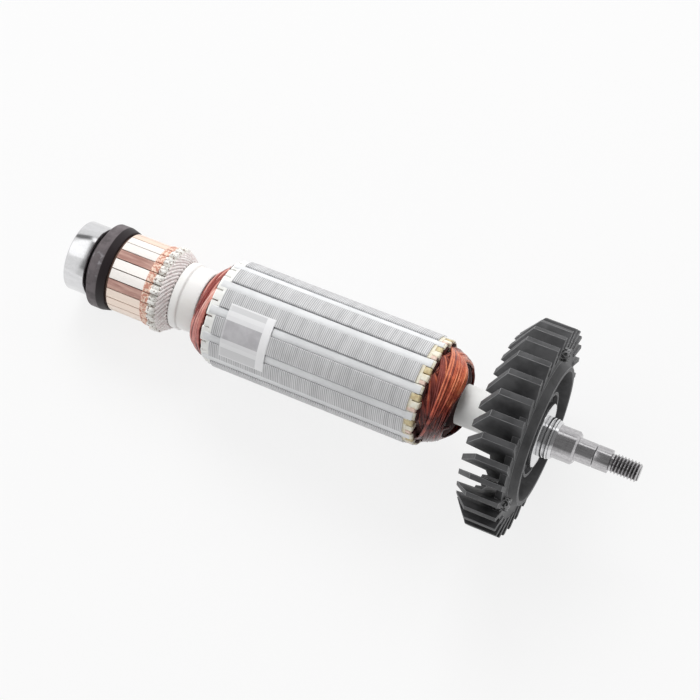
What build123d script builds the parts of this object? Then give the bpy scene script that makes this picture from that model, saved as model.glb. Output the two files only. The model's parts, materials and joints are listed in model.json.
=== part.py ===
from build123d import *
import os
from math import asin, atan2, cos, radians, sin

# Wound rotor of a hand-held grinder's motor, lying at rest on a flat surface.
# It rests on the rim of its insulating washer and on two blade tips of its fan, so the shaft
# climbs gently towards the fan. Stations are measured along the shaft from its rear end, and
# radii from the shaft's centre line. All lengths are in millimetres.

# Fits
SEAT_GAP = 0.01
RUNNING_GAP = 0.06
EDGE_BREAK = 0.4
CUT_OVERRUN = 1.0

# Rear ball bearing
BEARING_WIDTH = 7.0
BEARING_BORE = 8.0
BEARING_OUTSIDE = 22.0
BALL_COUNT = 7
BALL_DIAMETER = 3.9
INNER_RACE_OUTSIDE = 12.1
OUTER_RACE_INSIDE = 18.4
RACE_CORNER = 0.3
SHIELD_THICKNESS = 0.35
SHIELD_INSET = 0.3
SHIELD_GAP = 0.2
CAGE_WALL = 0.9
CAGE_RAIL = 0.35

# Insulating washer between bearing and commutator
WASHER_NOSE_LENGTH = 0.6
WASHER_NOSE_DIAMETER = 11.4
WASHER_BOSS_LENGTH = 1.7
WASHER_BOSS_DIAMETER = 20.8
WASHER_FLANGE_LENGTH = 5.8
WASHER_FLANGE_DIAMETER = 26.6
WASHER_TAPER_LENGTH = 3.1
WASHER_TAPER_DIAMETER = 25.3

# Commutator
BAR_COUNT = 24
BAR_OUTSIDE = 24.7
BAR_DEPTH = 2.7
BAR_SLOT = 0.5
MICA_UNDERCUT = 0.7
BRUSH_TRACK = 12.3
RISER_LENGTH = 2.5
RISER_HEIGHT = 0.35
HOOK_LENGTH = 3.4
HOOK_WIDTH = 2.1
HOOK_HEIGHT = 1.1
HOOK_SLOPE = 0.9
COMMUTATOR_TURN = -1.3
BUSH_WALL = 1.8
MOULDING_LIP = 0.8

# Leads from the hooks to the winding
SLEEVE_WALL = 1.0
LEAD_WIRE = 0.9
LEAD_SPAN = 2.5
LEAD_SKEW = -24.0
LEAD_ROOT_RADIUS = 11.6
WRAP_BAND_LENGTH = 2.4
WRAP_BAND_DIAMETER = 21.0
WRAP_DIAMETER = 20.0
WRAP_LENGTH = 6.0

# Laminated core
SLOT_COUNT = 12
CORE_LENGTH = 62.7
CORE_DIAMETER = 33.6
SLOT_OPENING = 2.87
TOOTH_TIP = 1.3
TOOTH_STEM = 3.4
SLOT_SHOULDER = 0.7
SLOT_ROOT_RADIUS = 8.4
END_PLATE = 1.0
END_PLATE_STEP = 0.5
LINER_WALL = 0.25
LINER_CUFF = 3.2
WEDGE_THICKNESS = 0.9
WEDGE_OVERHANG = 2.4

# Winding heads
COIL_STUB = 3.6
REAR_HEAD_LENGTH = 5.4
FRONT_HEAD_LENGTH = 9.9
HEAD_INSET = 1.2
FRONT_HEAD_CROWN = 9.5
FRONT_HEAD_START_ANGLE = 6.0
REAR_HEAD_CROWN = 11.0
REAR_HEAD_START_ANGLE = 76.0

# Fan
FAN_GAP = 10.5
HUB_DIAMETER = 18.0
HUB_LENGTH = 7.6
BLADE_COUNT = 31
FAN_DIAMETER = 63.9
BLADE_WIDTH = 9.3
BLADE_NOSE = 4.8
BLADE_NOSE_RADIUS = 26.0
BLADE_ROOT_RADIUS = 21.0
TONGUE_LENGTH = 7.2
TONGUE_ROOT_RADIUS = 25.0
BLADE_PROUD = 0.4
BLADE_RIB = 1.8
BLADE_THICKNESS = 1.5
BLADE_LEAN = 34.0
DISC_THICKNESS = 2.0
DISC_DIAMETER = 56.0
DRUM_HEIGHT = 2.5
DRUM_BASE_DIAMETER = 45.2
DRUM_TOP_DIAMETER = 42.4
CUP_DIAMETER = 40.0
CUP_DEPTH = 4.6
CUP_FLOOR = 1.8
BOSS_DIAMETER = 26.2
BOSS_WALL = 0.9
BOSS_HEIGHT = 1.0
BOSS_RECESS = 1.6

# Washer and collar in the fan's cup
FAN_WASHER_DIAMETER = 19.6
FAN_WASHER_THICKNESS = 2.5
COLLAR_DIAMETER = 12.2
COLLAR_LENGTH = 4.0
COLLAR_GROOVE = 0.3
COLLAR_CHAMFER = 0.6

# Shaft
BODY_DIAMETER = 10.4
DRIVE_SEAT_DIAMETER = 10.0
DRIVE_SEAT_LENGTH = 6.3
DRIVE_SEAT_CHAMFER = 0.5
PINION_SEAT_DIAMETER = 7.0
PINION_SEAT_LENGTH = 10.8
THREAD_DIAMETER = 6.0
THREAD_LENGTH = 8.1
THREAD_CHAMFER = 0.6
REAR_CHAMFER = 0.5

# Stations along the shaft
washer_start = BEARING_WIDTH
boss_start = washer_start + WASHER_NOSE_LENGTH
flange_start = boss_start + WASHER_BOSS_LENGTH
commutator_start = flange_start + WASHER_FLANGE_LENGTH
riser_start = commutator_start + BRUSH_TRACK
hook_start = riser_start + RISER_LENGTH
commutator_end = hook_start + HOOK_LENGTH
band_start = commutator_end + LEAD_SPAN
wrap_start = band_start + WRAP_BAND_LENGTH
rear_head_start = wrap_start + WRAP_LENGTH
rear_head_end = rear_head_start + REAR_HEAD_LENGTH
core_start = rear_head_end + COIL_STUB
core_end = core_start + CORE_LENGTH
front_head_start = core_end + COIL_STUB
front_head_end = front_head_start + FRONT_HEAD_LENGTH
hub_start = front_head_end + FAN_GAP
disc_start = hub_start + HUB_LENGTH + CUP_FLOOR + CUP_DEPTH - DRUM_HEIGHT - DISC_THICKNESS
disc_end = disc_start + DISC_THICKNESS
cup_floor = disc_end + DRUM_HEIGHT - CUP_DEPTH
boss_end = disc_end + BOSS_HEIGHT
washer_seat = boss_end - BOSS_RECESS
collar_start = washer_seat + FAN_WASHER_THICKNESS
collar_end = collar_start + COLLAR_LENGTH
drive_seat_end = collar_end + DRIVE_SEAT_LENGTH
thread_start = drive_seat_end + PINION_SEAT_LENGTH
shaft_end = thread_start + THREAD_LENGTH

# Radii
journal_radius = BEARING_BORE / 2
bearing_radius = BEARING_OUTSIDE / 2
body_radius = BODY_DIAMETER / 2
body_seat = body_radius + SEAT_GAP
bar_radius = BAR_OUTSIDE / 2
bar_root = bar_radius - BAR_DEPTH
mica_radius = bar_radius - MICA_UNDERCUT
bush_radius = body_radius + BUSH_WALL
core_radius = CORE_DIAMETER / 2
fan_radius = FAN_DIAMETER / 2
flange_radius = WASHER_FLANGE_DIAMETER / 2
sleeve_radius = body_radius + SLEEVE_WALL
slot_pitch = 360 / SLOT_COUNT
bar_pitch = 360 / BAR_COUNT
blade_pitch = 360 / BLADE_COUNT

# The pose at rest: the line under the washer's rim and under the two lowest blade tips
rim_start = disc_end - BLADE_WIDTH
tip_angle = asin(BLADE_THICKNESS / cos(radians(BLADE_LEAN)) / 2 / fan_radius)
tip_drop = fan_radius * cos(radians(blade_pitch / 2) - tip_angle)
touch_station = flange_start + EDGE_BREAK
tilt = atan2(tip_drop - flange_radius, rim_start - touch_station)
rear_height = flange_radius * cos(tilt) - touch_station * sin(tilt)
reach_back = -bearing_radius * sin(tilt) + RACE_CORNER * sin(tilt)
reach_front = shaft_end * cos(tilt) + (THREAD_DIAMETER / 2 - THREAD_CHAMFER) * sin(tilt)
rear_x = -(reach_back + reach_front) / 2

along = Vector(cos(tilt), 0, sin(tilt))
up = Vector(-sin(tilt), 0, cos(tilt))
rear_end = Vector(rear_x, 0, rear_height)
shaft_axis = Axis(rear_end, along)


def cross_plane(station, turn=0):
    """A plane square to the shaft at a station: local x points up at no turn, local z forward."""
    plane = Plane(origin=rear_end + along * station, x_dir=up, z_dir=along)
    return plane.rotated((0, 0, turn))


def side_plane(turn=0):
    """A plane through the shaft's centre line: local x is the station, local y the radius."""
    outward = up.rotate(Axis((0, 0, 0), along), turn)
    return Plane(origin=rear_end, x_dir=along, z_dir=along.cross(outward))


def ring(start, end, inner, outer):
    """The half section of a plain ring, as (station, radius) corners."""
    return [(start, inner), (start, outer), (end, outer), (end, inner)]


def broken_ring(start, end, inner, outer, edge):
    """The half section of a ring whose two outer edges are broken."""
    return [
        (start, inner), (start, outer - edge), (start + edge, outer),
        (end - edge, outer), (end, outer - edge), (end, inner),
    ]


def save(piece, name):
    """Labels a finished piece and writes it to its own file."""
    piece.part.label = name
    export_step(piece.part, "parts/" + name + ".step")


os.makedirs("parts", exist_ok=True)

# Shaft: bearing journal, long body, drive-end bearing seat, pinion seat and the thread's stub
drive_seat_radius = DRIVE_SEAT_DIAMETER / 2
pinion_radius = PINION_SEAT_DIAMETER / 2
thread_radius = THREAD_DIAMETER / 2
with BuildPart() as shaft:
    with BuildSketch(side_plane()):
        Polygon(
            (0, 0), (0, journal_radius - REAR_CHAMFER), (REAR_CHAMFER, journal_radius),
            (washer_start, journal_radius), (washer_start, body_radius),
            (collar_end, body_radius), (collar_end, drive_seat_radius),
            (drive_seat_end - DRIVE_SEAT_CHAMFER, drive_seat_radius),
            (drive_seat_end, drive_seat_radius - DRIVE_SEAT_CHAMFER),
            (drive_seat_end, pinion_radius), (thread_start, pinion_radius),
            (thread_start, thread_radius), (shaft_end - THREAD_CHAMFER, thread_radius),
            (shaft_end, thread_radius - THREAD_CHAMFER), (shaft_end, 0),
            align=None,
        )
    revolve(axis=shaft_axis)
save(shaft, "shaft")

# Ball bearing: races with round grooves, balls, cage and two shields
bearing_middle = BEARING_WIDTH / 2
ball_radius = BALL_DIAMETER / 2
ball_circle = (BEARING_BORE + BEARING_OUTSIDE) / 4
groove_radius = ball_radius + RUNNING_GAP
inner_race_radius = INNER_RACE_OUTSIDE / 2
outer_race_radius = OUTER_RACE_INSIDE / 2
with BuildPart() as inner_race:
    with BuildSketch(side_plane()):
        Polygon(
            *broken_ring(0, BEARING_WIDTH, journal_radius + SEAT_GAP, inner_race_radius, RACE_CORNER),
            align=None,
        )
        with Locations((bearing_middle, ball_circle)):
            Circle(groove_radius, mode=Mode.SUBTRACT)
    revolve(axis=shaft_axis)
save(inner_race, "bearing_inner_race")

with BuildPart() as outer_race:
    with BuildSketch(side_plane()):
        Polygon(
            *broken_ring(0, BEARING_WIDTH, outer_race_radius, bearing_radius, RACE_CORNER),
            align=None,
        )
        with Locations((bearing_middle, ball_circle)):
            Circle(groove_radius, mode=Mode.SUBTRACT)
    revolve(axis=shaft_axis)
save(outer_race, "bearing_outer_race")

with BuildPart() as balls:
    for number in range(BALL_COUNT):
        with Locations(side_plane(number * 360 / BALL_COUNT)):
            with Locations((bearing_middle, ball_circle)):
                Sphere(ball_radius)
save(balls, "bearing_balls")

cage_half = groove_radius + CAGE_RAIL
with BuildPart() as cage:
    with BuildSketch(side_plane()):
        Polygon(
            *ring(bearing_middle - cage_half, bearing_middle + cage_half,
                  ball_circle - CAGE_WALL / 2, ball_circle + CAGE_WALL / 2),
            align=None,
        )
    revolve(axis=shaft_axis)
    for number in range(BALL_COUNT):
        with Locations(side_plane(number * 360 / BALL_COUNT)):
            with Locations((bearing_middle, ball_circle)):
                Sphere(groove_radius, mode=Mode.SUBTRACT)
save(cage, "bearing_cage")

shield_inner = inner_race_radius + SHIELD_GAP
shield_outer = outer_race_radius - SEAT_GAP
rear_shield_end = SHIELD_INSET + SHIELD_THICKNESS
with BuildPart() as rear_shield:
    with BuildSketch(side_plane()):
        Polygon(*ring(SHIELD_INSET, rear_shield_end, shield_inner, shield_outer), align=None)
    revolve(axis=shaft_axis)
save(rear_shield, "bearing_shield_rear")

front_shield_end = BEARING_WIDTH - SHIELD_INSET
front_shield_start = front_shield_end - SHIELD_THICKNESS
with BuildPart() as front_shield:
    with BuildSketch(side_plane()):
        Polygon(*ring(front_shield_start, front_shield_end, shield_inner, shield_outer), align=None)
    revolve(axis=shaft_axis)
save(front_shield, "bearing_shield_front")

# Insulating washer: a nose against the inner race, a boss and a flange
nose_radius = WASHER_NOSE_DIAMETER / 2
boss_radius = WASHER_BOSS_DIAMETER / 2
with BuildPart() as insulating_washer:
    with BuildSketch(side_plane()):
        Polygon(
            (washer_start, body_seat), (washer_start, nose_radius),
            (boss_start, nose_radius), (boss_start, boss_radius - EDGE_BREAK),
            (boss_start + EDGE_BREAK, boss_radius), (flange_start, boss_radius),
            (flange_start, flange_radius - EDGE_BREAK), (touch_station, flange_radius),
            (commutator_start - WASHER_TAPER_LENGTH, flange_radius),
            (commutator_start, WASHER_TAPER_DIAMETER / 2), (commutator_start, body_seat),
            align=None,
        )
    revolve(axis=shaft_axis)
save(insulating_washer, "insulating_washer")

# Commutator: bush, moulding, bars with risers and hooks, and mica between the bars
with BuildPart() as bush:
    with BuildSketch(side_plane()):
        Polygon(*ring(commutator_start, commutator_end, body_seat, bush_radius), align=None)
    revolve(axis=shaft_axis)
save(bush, "commutator_bush")

with BuildPart() as moulding:
    with BuildSketch(side_plane()):
        Polygon(
            (commutator_start, bush_radius), (commutator_start, mica_radius),
            (commutator_start + MOULDING_LIP, mica_radius),
            (commutator_start + MOULDING_LIP, bar_root), (commutator_end, bar_root),
            (commutator_end, bush_radius),
            align=None,
        )
    revolve(axis=shaft_axis)
save(moulding, "commutator_moulding")

bar_start = commutator_start + MOULDING_LIP
riser_radius = bar_radius + RISER_HEIGHT
hook_radius = bar_radius + HOOK_HEIGHT
with BuildPart() as bars:
    for number in range(BAR_COUNT):
        with BuildSketch(side_plane(COMMUTATOR_TURN + (number + 0.5) * bar_pitch)):
            Polygon(
                (bar_start, bar_root - CUT_OVERRUN), (bar_start, bar_radius), (riser_start, bar_radius),
                (riser_start, riser_radius), (hook_start, riser_radius), (hook_start, bar_radius),
                (commutator_end, bar_radius), (commutator_end, bar_root - CUT_OVERRUN),
                align=None,
            )
        extrude(amount=bar_radius * sin(radians(bar_pitch / 2)), both=True)
    with BuildSketch(side_plane()):
        Polygon(
            *ring(bar_start, commutator_end, bar_root, riser_radius), align=None,
        )
    revolve(axis=shaft_axis, mode=Mode.INTERSECT)
    for number in range(BAR_COUNT):
        with BuildSketch(side_plane(COMMUTATOR_TURN + number * bar_pitch)):
            Polygon(
                *ring(bar_start, commutator_end, bar_root - CUT_OVERRUN, hook_radius), align=None,
            )
        extrude(amount=BAR_SLOT / 2, both=True, mode=Mode.SUBTRACT)
    for number in range(BAR_COUNT):
        with BuildSketch(side_plane(COMMUTATOR_TURN + (number + 0.5) * bar_pitch)):
            Polygon(
                (hook_start, mica_radius), (hook_start, bar_radius + RISER_HEIGHT),
                (hook_start + HOOK_SLOPE, hook_radius), (commutator_end - HOOK_SLOPE, hook_radius),
                (commutator_end, bar_radius + RISER_HEIGHT), (commutator_end, mica_radius),
                align=None,
            )
        extrude(amount=HOOK_WIDTH / 2, both=True)
save(bars, "commutator_bars")

with BuildPart() as mica:
    for number in range(BAR_COUNT):
        with BuildSketch(side_plane(COMMUTATOR_TURN + number * bar_pitch)):
            Polygon(
                *ring(bar_start, commutator_end, bar_root, mica_radius), align=None,
            )
        extrude(amount=BAR_SLOT / 2 - SEAT_GAP, both=True)
    with BuildSketch(side_plane()):
        Polygon(
            *ring(bar_start, commutator_end, bar_root + SEAT_GAP, mica_radius), align=None,
        )
    revolve(axis=shaft_axis, mode=Mode.INTERSECT)
save(mica, "commutator_mica")

# Insulating sleeves on the shaft, and the varnished wrap over the leads
with BuildPart() as rear_sleeve:
    with BuildSketch(side_plane()):
        Polygon(*ring(commutator_end, core_start - END_PLATE, body_seat, sleeve_radius), align=None)
    revolve(axis=shaft_axis)
save(rear_sleeve, "shaft_sleeve_rear")

wrap_bore = sleeve_radius + SEAT_GAP
band_radius = WRAP_BAND_DIAMETER / 2
wrap_radius = WRAP_DIAMETER / 2
lead_radius = LEAD_WIRE / 2
with BuildPart() as lead_wrap:
    with BuildSketch(side_plane()):
        Polygon(
            (commutator_end, wrap_bore), (commutator_end, LEAD_ROOT_RADIUS - lead_radius),
            (band_start, wrap_radius - lead_radius), (band_start, band_radius),
            (wrap_start, band_radius), (wrap_start, wrap_radius),
            (rear_head_start, wrap_radius), (rear_head_start, wrap_bore),
            align=None,
        )
    revolve(axis=shaft_axis)
save(lead_wrap, "lead_wrap")

# Lead wires: straight runs that slant round the wrap's cone from each hook
with BuildPart() as leads:
    for number in range(BAR_COUNT):
        turn = COMMUTATOR_TURN + (number + 0.5) * bar_pitch
        start = side_plane(turn).from_local_coords((commutator_end, LEAD_ROOT_RADIUS + lead_radius))
        finish = side_plane(turn + LEAD_SKEW).from_local_coords((band_start, wrap_radius + lead_radius))
        run = finish - start
        with BuildSketch(Plane(origin=start, z_dir=run)):
            Circle(lead_radius)
        extrude(amount=run.length)
    with BuildSketch(side_plane()):
        Polygon(
            *ring(commutator_end, band_start, LEAD_ROOT_RADIUS - BAR_DEPTH, hook_radius), align=None,
        )
    revolve(axis=shaft_axis, mode=Mode.INTERSECT)
save(leads, "lead_wires")

# Laminated core with twelve slots; a tooth faces up
slot_shoulder = core_radius - TOOTH_TIP - SLOT_SHOULDER


def slot_half_width(radius):
    """Half the slot's width where the teeth have straight, parallel sides."""
    return radius * sin(radians(slot_pitch / 2)) - TOOTH_STEM / 2


def slot_outline(inset, outside):
    """The slot's outline at no turn, drawn inside its walls by an inset, out to a radius."""
    root = slot_half_width(SLOT_ROOT_RADIUS) - inset
    belly = slot_half_width(slot_shoulder) - inset
    mouth = SLOT_OPENING / 2 - inset
    return [
        (SLOT_ROOT_RADIUS + inset, -root), (slot_shoulder, -belly),
        (core_radius - TOOTH_TIP, -mouth), (outside, -mouth),
        (outside, mouth), (core_radius - TOOTH_TIP, mouth),
        (slot_shoulder, belly), (SLOT_ROOT_RADIUS + inset, root),
    ]


with BuildPart() as core:
    with BuildSketch(cross_plane(core_start)):
        Circle(core_radius)
        Circle(body_seat, mode=Mode.SUBTRACT)
        with PolarLocations(0, SLOT_COUNT, start_angle=slot_pitch / 2):
            Polygon(*slot_outline(0, core_radius + CUT_OVERRUN), align=None, mode=Mode.SUBTRACT)
    extrude(amount=CORE_LENGTH)
save(core, "core")

plate_radius = core_radius - END_PLATE_STEP
with BuildPart() as rear_plate:
    with BuildSketch(cross_plane(core_start - END_PLATE)):
        Circle(plate_radius)
        Circle(body_seat, mode=Mode.SUBTRACT)
        with PolarLocations(0, SLOT_COUNT, start_angle=slot_pitch / 2):
            Polygon(*slot_outline(0, core_radius), align=None, mode=Mode.SUBTRACT)
    extrude(amount=END_PLATE)
save(rear_plate, "rear_end_plate")

with BuildPart() as front_plate:
    with BuildSketch(cross_plane(core_end)):
        Circle(plate_radius)
        Circle(body_seat, mode=Mode.SUBTRACT)
        with PolarLocations(0, SLOT_COUNT, start_angle=slot_pitch / 2):
            Polygon(*slot_outline(0, core_radius), align=None, mode=Mode.SUBTRACT)
    extrude(amount=END_PLATE)
save(front_plate, "front_end_plate")

# Slot liners: paper channels that stand out of the core as cuffs
wedge_root = core_radius - TOOTH_TIP
with BuildPart() as liners:
    with BuildSketch(cross_plane(core_start - LINER_CUFF)):
        with PolarLocations(0, SLOT_COUNT, start_angle=slot_pitch / 2):
            Polygon(*slot_outline(SEAT_GAP, wedge_root), align=None)
        with PolarLocations(0, SLOT_COUNT, start_angle=slot_pitch / 2):
            Polygon(*slot_outline(SEAT_GAP + LINER_WALL, wedge_root), align=None, mode=Mode.SUBTRACT)
    extrude(amount=CORE_LENGTH + 2 * LINER_CUFF)
save(liners, "slot_liners")

with BuildPart() as wedges:
    with BuildSketch(cross_plane(core_start - WEDGE_OVERHANG)):
        with PolarLocations(wedge_root + WEDGE_THICKNESS / 2, SLOT_COUNT, start_angle=slot_pitch / 2):
            Rectangle(WEDGE_THICKNESS, SLOT_OPENING - 2 * SEAT_GAP)
    extrude(amount=CORE_LENGTH + 2 * WEDGE_OVERHANG)
save(wedges, "slot_wedges")

# Coil sides fill the liners from one winding head to the other
with BuildPart() as coil_sides:
    with BuildSketch(cross_plane(core_start - COIL_STUB)):
        with PolarLocations(0, SLOT_COUNT, start_angle=slot_pitch / 2):
            Polygon(*slot_outline(2 * SEAT_GAP + LINER_WALL, wedge_root - SEAT_GAP), align=None)
    extrude(amount=CORE_LENGTH + 2 * COIL_STUB)
save(coil_sides, "coil_sides")

# Winding heads: domes of wire over the shaft's sleeves
head_radius = core_radius - HEAD_INSET
rear_lean = radians(REAR_HEAD_START_ANGLE)
front_lean = radians(FRONT_HEAD_START_ANGLE)
with BuildPart() as rear_head:
    with BuildSketch(side_plane()):
        with BuildLine():
            Line((rear_head_end, wrap_bore), (rear_head_start, wrap_bore))
            Line((rear_head_start, wrap_bore), (rear_head_start, REAR_HEAD_CROWN))
            TangentArc(
                (rear_head_start, REAR_HEAD_CROWN), (rear_head_end, head_radius),
                tangent=(cos(rear_lean), sin(rear_lean)),
            )
            Line((rear_head_end, head_radius), (rear_head_end, wrap_bore))
        make_face()
    revolve(axis=shaft_axis)
save(rear_head, "rear_winding_head")

with BuildPart() as front_head:
    with BuildSketch(side_plane()):
        with BuildLine():
            Line((front_head_start, wrap_bore), (front_head_start, head_radius))
            TangentArc(
                (front_head_start, head_radius), (front_head_end, FRONT_HEAD_CROWN),
                tangent=(cos(front_lean), sin(front_lean)),
            )
            Line((front_head_end, FRONT_HEAD_CROWN), (front_head_end, wrap_bore))
            Line((front_head_end, wrap_bore), (front_head_start, wrap_bore))
        make_face()
    revolve(axis=shaft_axis)
save(front_head, "front_winding_head")

with BuildPart() as front_sleeve:
    with BuildSketch(side_plane()):
        Polygon(*ring(core_end + END_PLATE, hub_start, body_seat, sleeve_radius), align=None)
    revolve(axis=shaft_axis)
save(front_sleeve, "shaft_sleeve_front")

# Fan: leaning blades on a disc, with a cup, a drum round it and a boss for the steel washer.
# Each blade starts as a free tongue, and its other end stands proud of the disc as a short rib.
hub_radius = HUB_DIAMETER / 2
disc_radius = DISC_DIAMETER / 2
drum_base = DRUM_BASE_DIAMETER / 2
drum_top = DRUM_TOP_DIAMETER / 2
cup_radius = CUP_DIAMETER / 2
fan_boss = BOSS_DIAMETER / 2
floor_start = cup_floor - CUP_FLOOR
nose_station = rim_start - BLADE_NOSE
tongue_end = nose_station + TONGUE_LENGTH
blade_end = disc_end + BLADE_PROUD
rib_radius = disc_radius - BLADE_RIB
disc_middle = disc_start + DISC_THICKNESS / 2
blade_run = (fan_radius - BLADE_ROOT_RADIUS) / cos(radians(BLADE_LEAN)) + BLADE_NOSE
with BuildPart() as fan:
    with BuildSketch(cross_plane(nose_station)):
        with PolarLocations(fan_radius, BLADE_COUNT):
            with Locations(Location((0, 0), 180 - BLADE_LEAN)):
                Rectangle(2 * blade_run, BLADE_THICKNESS)
    extrude(amount=blade_end - nose_station)
    with BuildSketch(side_plane()):
        Polygon(
            (nose_station, BLADE_NOSE_RADIUS), (rim_start, fan_radius), (blade_end, fan_radius),
            (blade_end, rib_radius), (disc_middle, rib_radius),
            (disc_middle, BLADE_ROOT_RADIUS), (tongue_end, BLADE_ROOT_RADIUS),
            (tongue_end, TONGUE_ROOT_RADIUS),
            align=None,
        )
    revolve(axis=shaft_axis, mode=Mode.INTERSECT)
    with BuildSketch(side_plane()):
        Polygon(
            (hub_start, body_seat), (hub_start, hub_radius), (floor_start, hub_radius),
            (floor_start, cup_radius), (disc_start, drum_base), (disc_start, disc_radius),
            (disc_end, disc_radius), (disc_end, drum_base), (disc_end + DRUM_HEIGHT, drum_top),
            (disc_end + DRUM_HEIGHT, cup_radius), (cup_floor, cup_radius - CUP_FLOOR / 2),
            (cup_floor, fan_boss), (boss_end, fan_boss), (boss_end, fan_boss - BOSS_WALL),
            (washer_seat, fan_boss - BOSS_WALL), (washer_seat, body_seat),
            align=None,
        )
    revolve(axis=shaft_axis)
save(fan, "fan")

# Steel washer against the fan's boss, and the grooved collar against the drive-end bearing
with BuildPart() as fan_washer:
    with BuildSketch(side_plane()):
        Polygon(
            *broken_ring(washer_seat, collar_start, body_seat, FAN_WASHER_DIAMETER / 2, EDGE_BREAK),
            align=None,
        )
    revolve(axis=shaft_axis)
save(fan_washer, "fan_washer")

collar_radius = COLLAR_DIAMETER / 2
collar_floor = collar_radius - COLLAR_GROOVE
groove_start = collar_start + COLLAR_LENGTH / 2
groove_end = groove_start + COLLAR_GROOVE
with BuildPart() as collar:
    with BuildSketch(side_plane()):
        Polygon(
            (collar_start, body_seat), (collar_start, collar_radius),
            (groove_start, collar_radius), (groove_start, collar_floor),
            (groove_end, collar_floor), (groove_end, collar_radius),
            (collar_end - COLLAR_CHAMFER, collar_radius),
            (collar_end, collar_radius - COLLAR_CHAMFER), (collar_end, body_seat),
            align=None,
        )
    revolve(axis=shaft_axis)
save(collar, "spacer_collar")
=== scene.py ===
"""Looks of a grinder motor's armature, lying on a pale table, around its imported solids.

Stations run along the shaft from its rear end and radii from its centre line, both in
millimetres. Angles are in degrees round the shaft, from the upward side towards +Y.
"""

import json
import logging
import math
import random
from dataclasses import dataclass, field
from enum import Enum
from typing import Any, Iterable, Sequence, Union

import bmesh
import bpy
from mathutils import Matrix, Vector


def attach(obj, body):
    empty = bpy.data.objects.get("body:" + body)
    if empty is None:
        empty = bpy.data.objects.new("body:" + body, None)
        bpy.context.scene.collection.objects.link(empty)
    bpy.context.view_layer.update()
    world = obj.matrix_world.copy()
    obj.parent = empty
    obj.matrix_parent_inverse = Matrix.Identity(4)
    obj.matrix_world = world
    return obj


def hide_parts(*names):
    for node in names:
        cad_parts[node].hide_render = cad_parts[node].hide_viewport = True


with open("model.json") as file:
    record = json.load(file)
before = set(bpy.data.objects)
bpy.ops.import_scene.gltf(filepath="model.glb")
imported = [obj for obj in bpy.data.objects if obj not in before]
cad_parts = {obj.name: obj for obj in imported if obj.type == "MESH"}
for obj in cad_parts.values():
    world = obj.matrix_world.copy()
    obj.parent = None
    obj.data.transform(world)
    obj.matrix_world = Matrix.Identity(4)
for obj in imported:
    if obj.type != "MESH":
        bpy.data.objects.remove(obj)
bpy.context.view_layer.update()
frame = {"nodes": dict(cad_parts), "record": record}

MM = 0.001
TINY = 1e-6
SEED = 7
SLOT_COUNT = 12
SLOT_PITCH = 360.0 / SLOT_COUNT
SLOT_PHASE = 15.0
SLOT_ANGLES = tuple(SLOT_PHASE + number * SLOT_PITCH for number in range(SLOT_COUNT))
BAR_COUNT = 24
BAR_PHASE = 1.3
WELD_DISTANCE = 1e-7
DEGENERATE_LENGTH = 1e-8
SOLID_WELD_DISTANCE = 2e-6
FLAT_ANGLE = 0.6
EDGE_ANGLE = 28.0
CREASE_ANGLE = 32.0
CORNER_SHARE = 0.45

Colour = tuple[float, float, float]
Point = tuple[float, float]
Point3 = tuple[float, float, float]
Number = Union["Signal", float]

log = logging.getLogger("armature")


class Body(Enum):
    """The bodies that pieces ride on."""

    ROTOR = "rotor"
    OUTER_RACE = "outer_race"
    BALL_CAGE = "ball_cage"


@dataclass(frozen=True)
class ShaftLine:
    """The shaft's centre line in the frame."""

    rear: Vector
    along: Vector
    up: Vector
    side: Vector

    @classmethod
    def from_record(cls, record: dict, bearing_width: float = 7.0) -> "ShaftLine":
        """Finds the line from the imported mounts.

        Args:
            record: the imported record.
            bearing_width: the rear bearing's width in millimetres.

        Returns:
            The line, with station 0 at the bearing's outer face.
        """
        mounts = {mount["name"]: mount for mount in record["mounts"]}
        along = Vector(mounts["thread_end"]["axis"]).normalized()
        middle = Vector(mounts["rear_bearing_seat"]["pos_m"])
        rear = middle - along * (bearing_width / 2 * MM)
        return cls(rear, along, Vector((-along.z, 0.0, along.x)), Vector((0.0, 1.0, 0.0)))

    def at(self, station: float, radius: float, angle: float) -> Vector:
        """Gives a place by station, radius and angle.

        Args:
            station: millimetres from the rear end.
            radius: millimetres from the centre line.
            angle: degrees from the upward side.

        Returns:
            The point in metres.
        """
        turn = math.radians(angle)
        outward = self.up * math.cos(turn) + self.side * math.sin(turn)
        return self.rear + (self.along * station + outward * radius) * MM

    def measure(self, place: Vector) -> Point:
        """Gives the station and radius of a place in metres."""
        off = (place - self.rear) / MM
        return off.dot(self.along), math.hypot(off.dot(self.up), off.dot(self.side))


LINE = ShaftLine.from_record(frame["record"])


@dataclass(frozen=True)
class Extent:
    """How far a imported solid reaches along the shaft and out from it."""

    start: float
    end: float
    inner: float
    outer: float
    profile: tuple[Point, ...]

    @classmethod
    def of(cls, node: str) -> "Extent":
        """Measures a node.

        Args:
            node: the node's name.

        Returns:
            Its stations and radii, and its largest radius at each station that it has.
        """
        places = [LINE.measure(vertex.co) for vertex in frame["nodes"][node].data.vertices]
        widest: dict[float, float] = {}
        for station, radius in places:
            key = round(station, 1)
            widest[key] = max(widest.get(key, 0.0), radius)
        stations, radii = zip(*places)
        return cls(min(stations), max(stations), min(radii), max(radii),
                   tuple(sorted(widest.items())))

    def outer_at(self, station: float) -> float:
        """Gives the largest radius at a station, between those that the node has."""
        for (s0, r0), (s1, r1) in zip(self.profile, self.profile[1:]):
            if s0 <= station <= s1:
                return r0 + (r1 - r0) * (station - s0) / (s1 - s0)
        return self.profile[0][1] if station < self.profile[0][0] else self.profile[-1][1]


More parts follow.
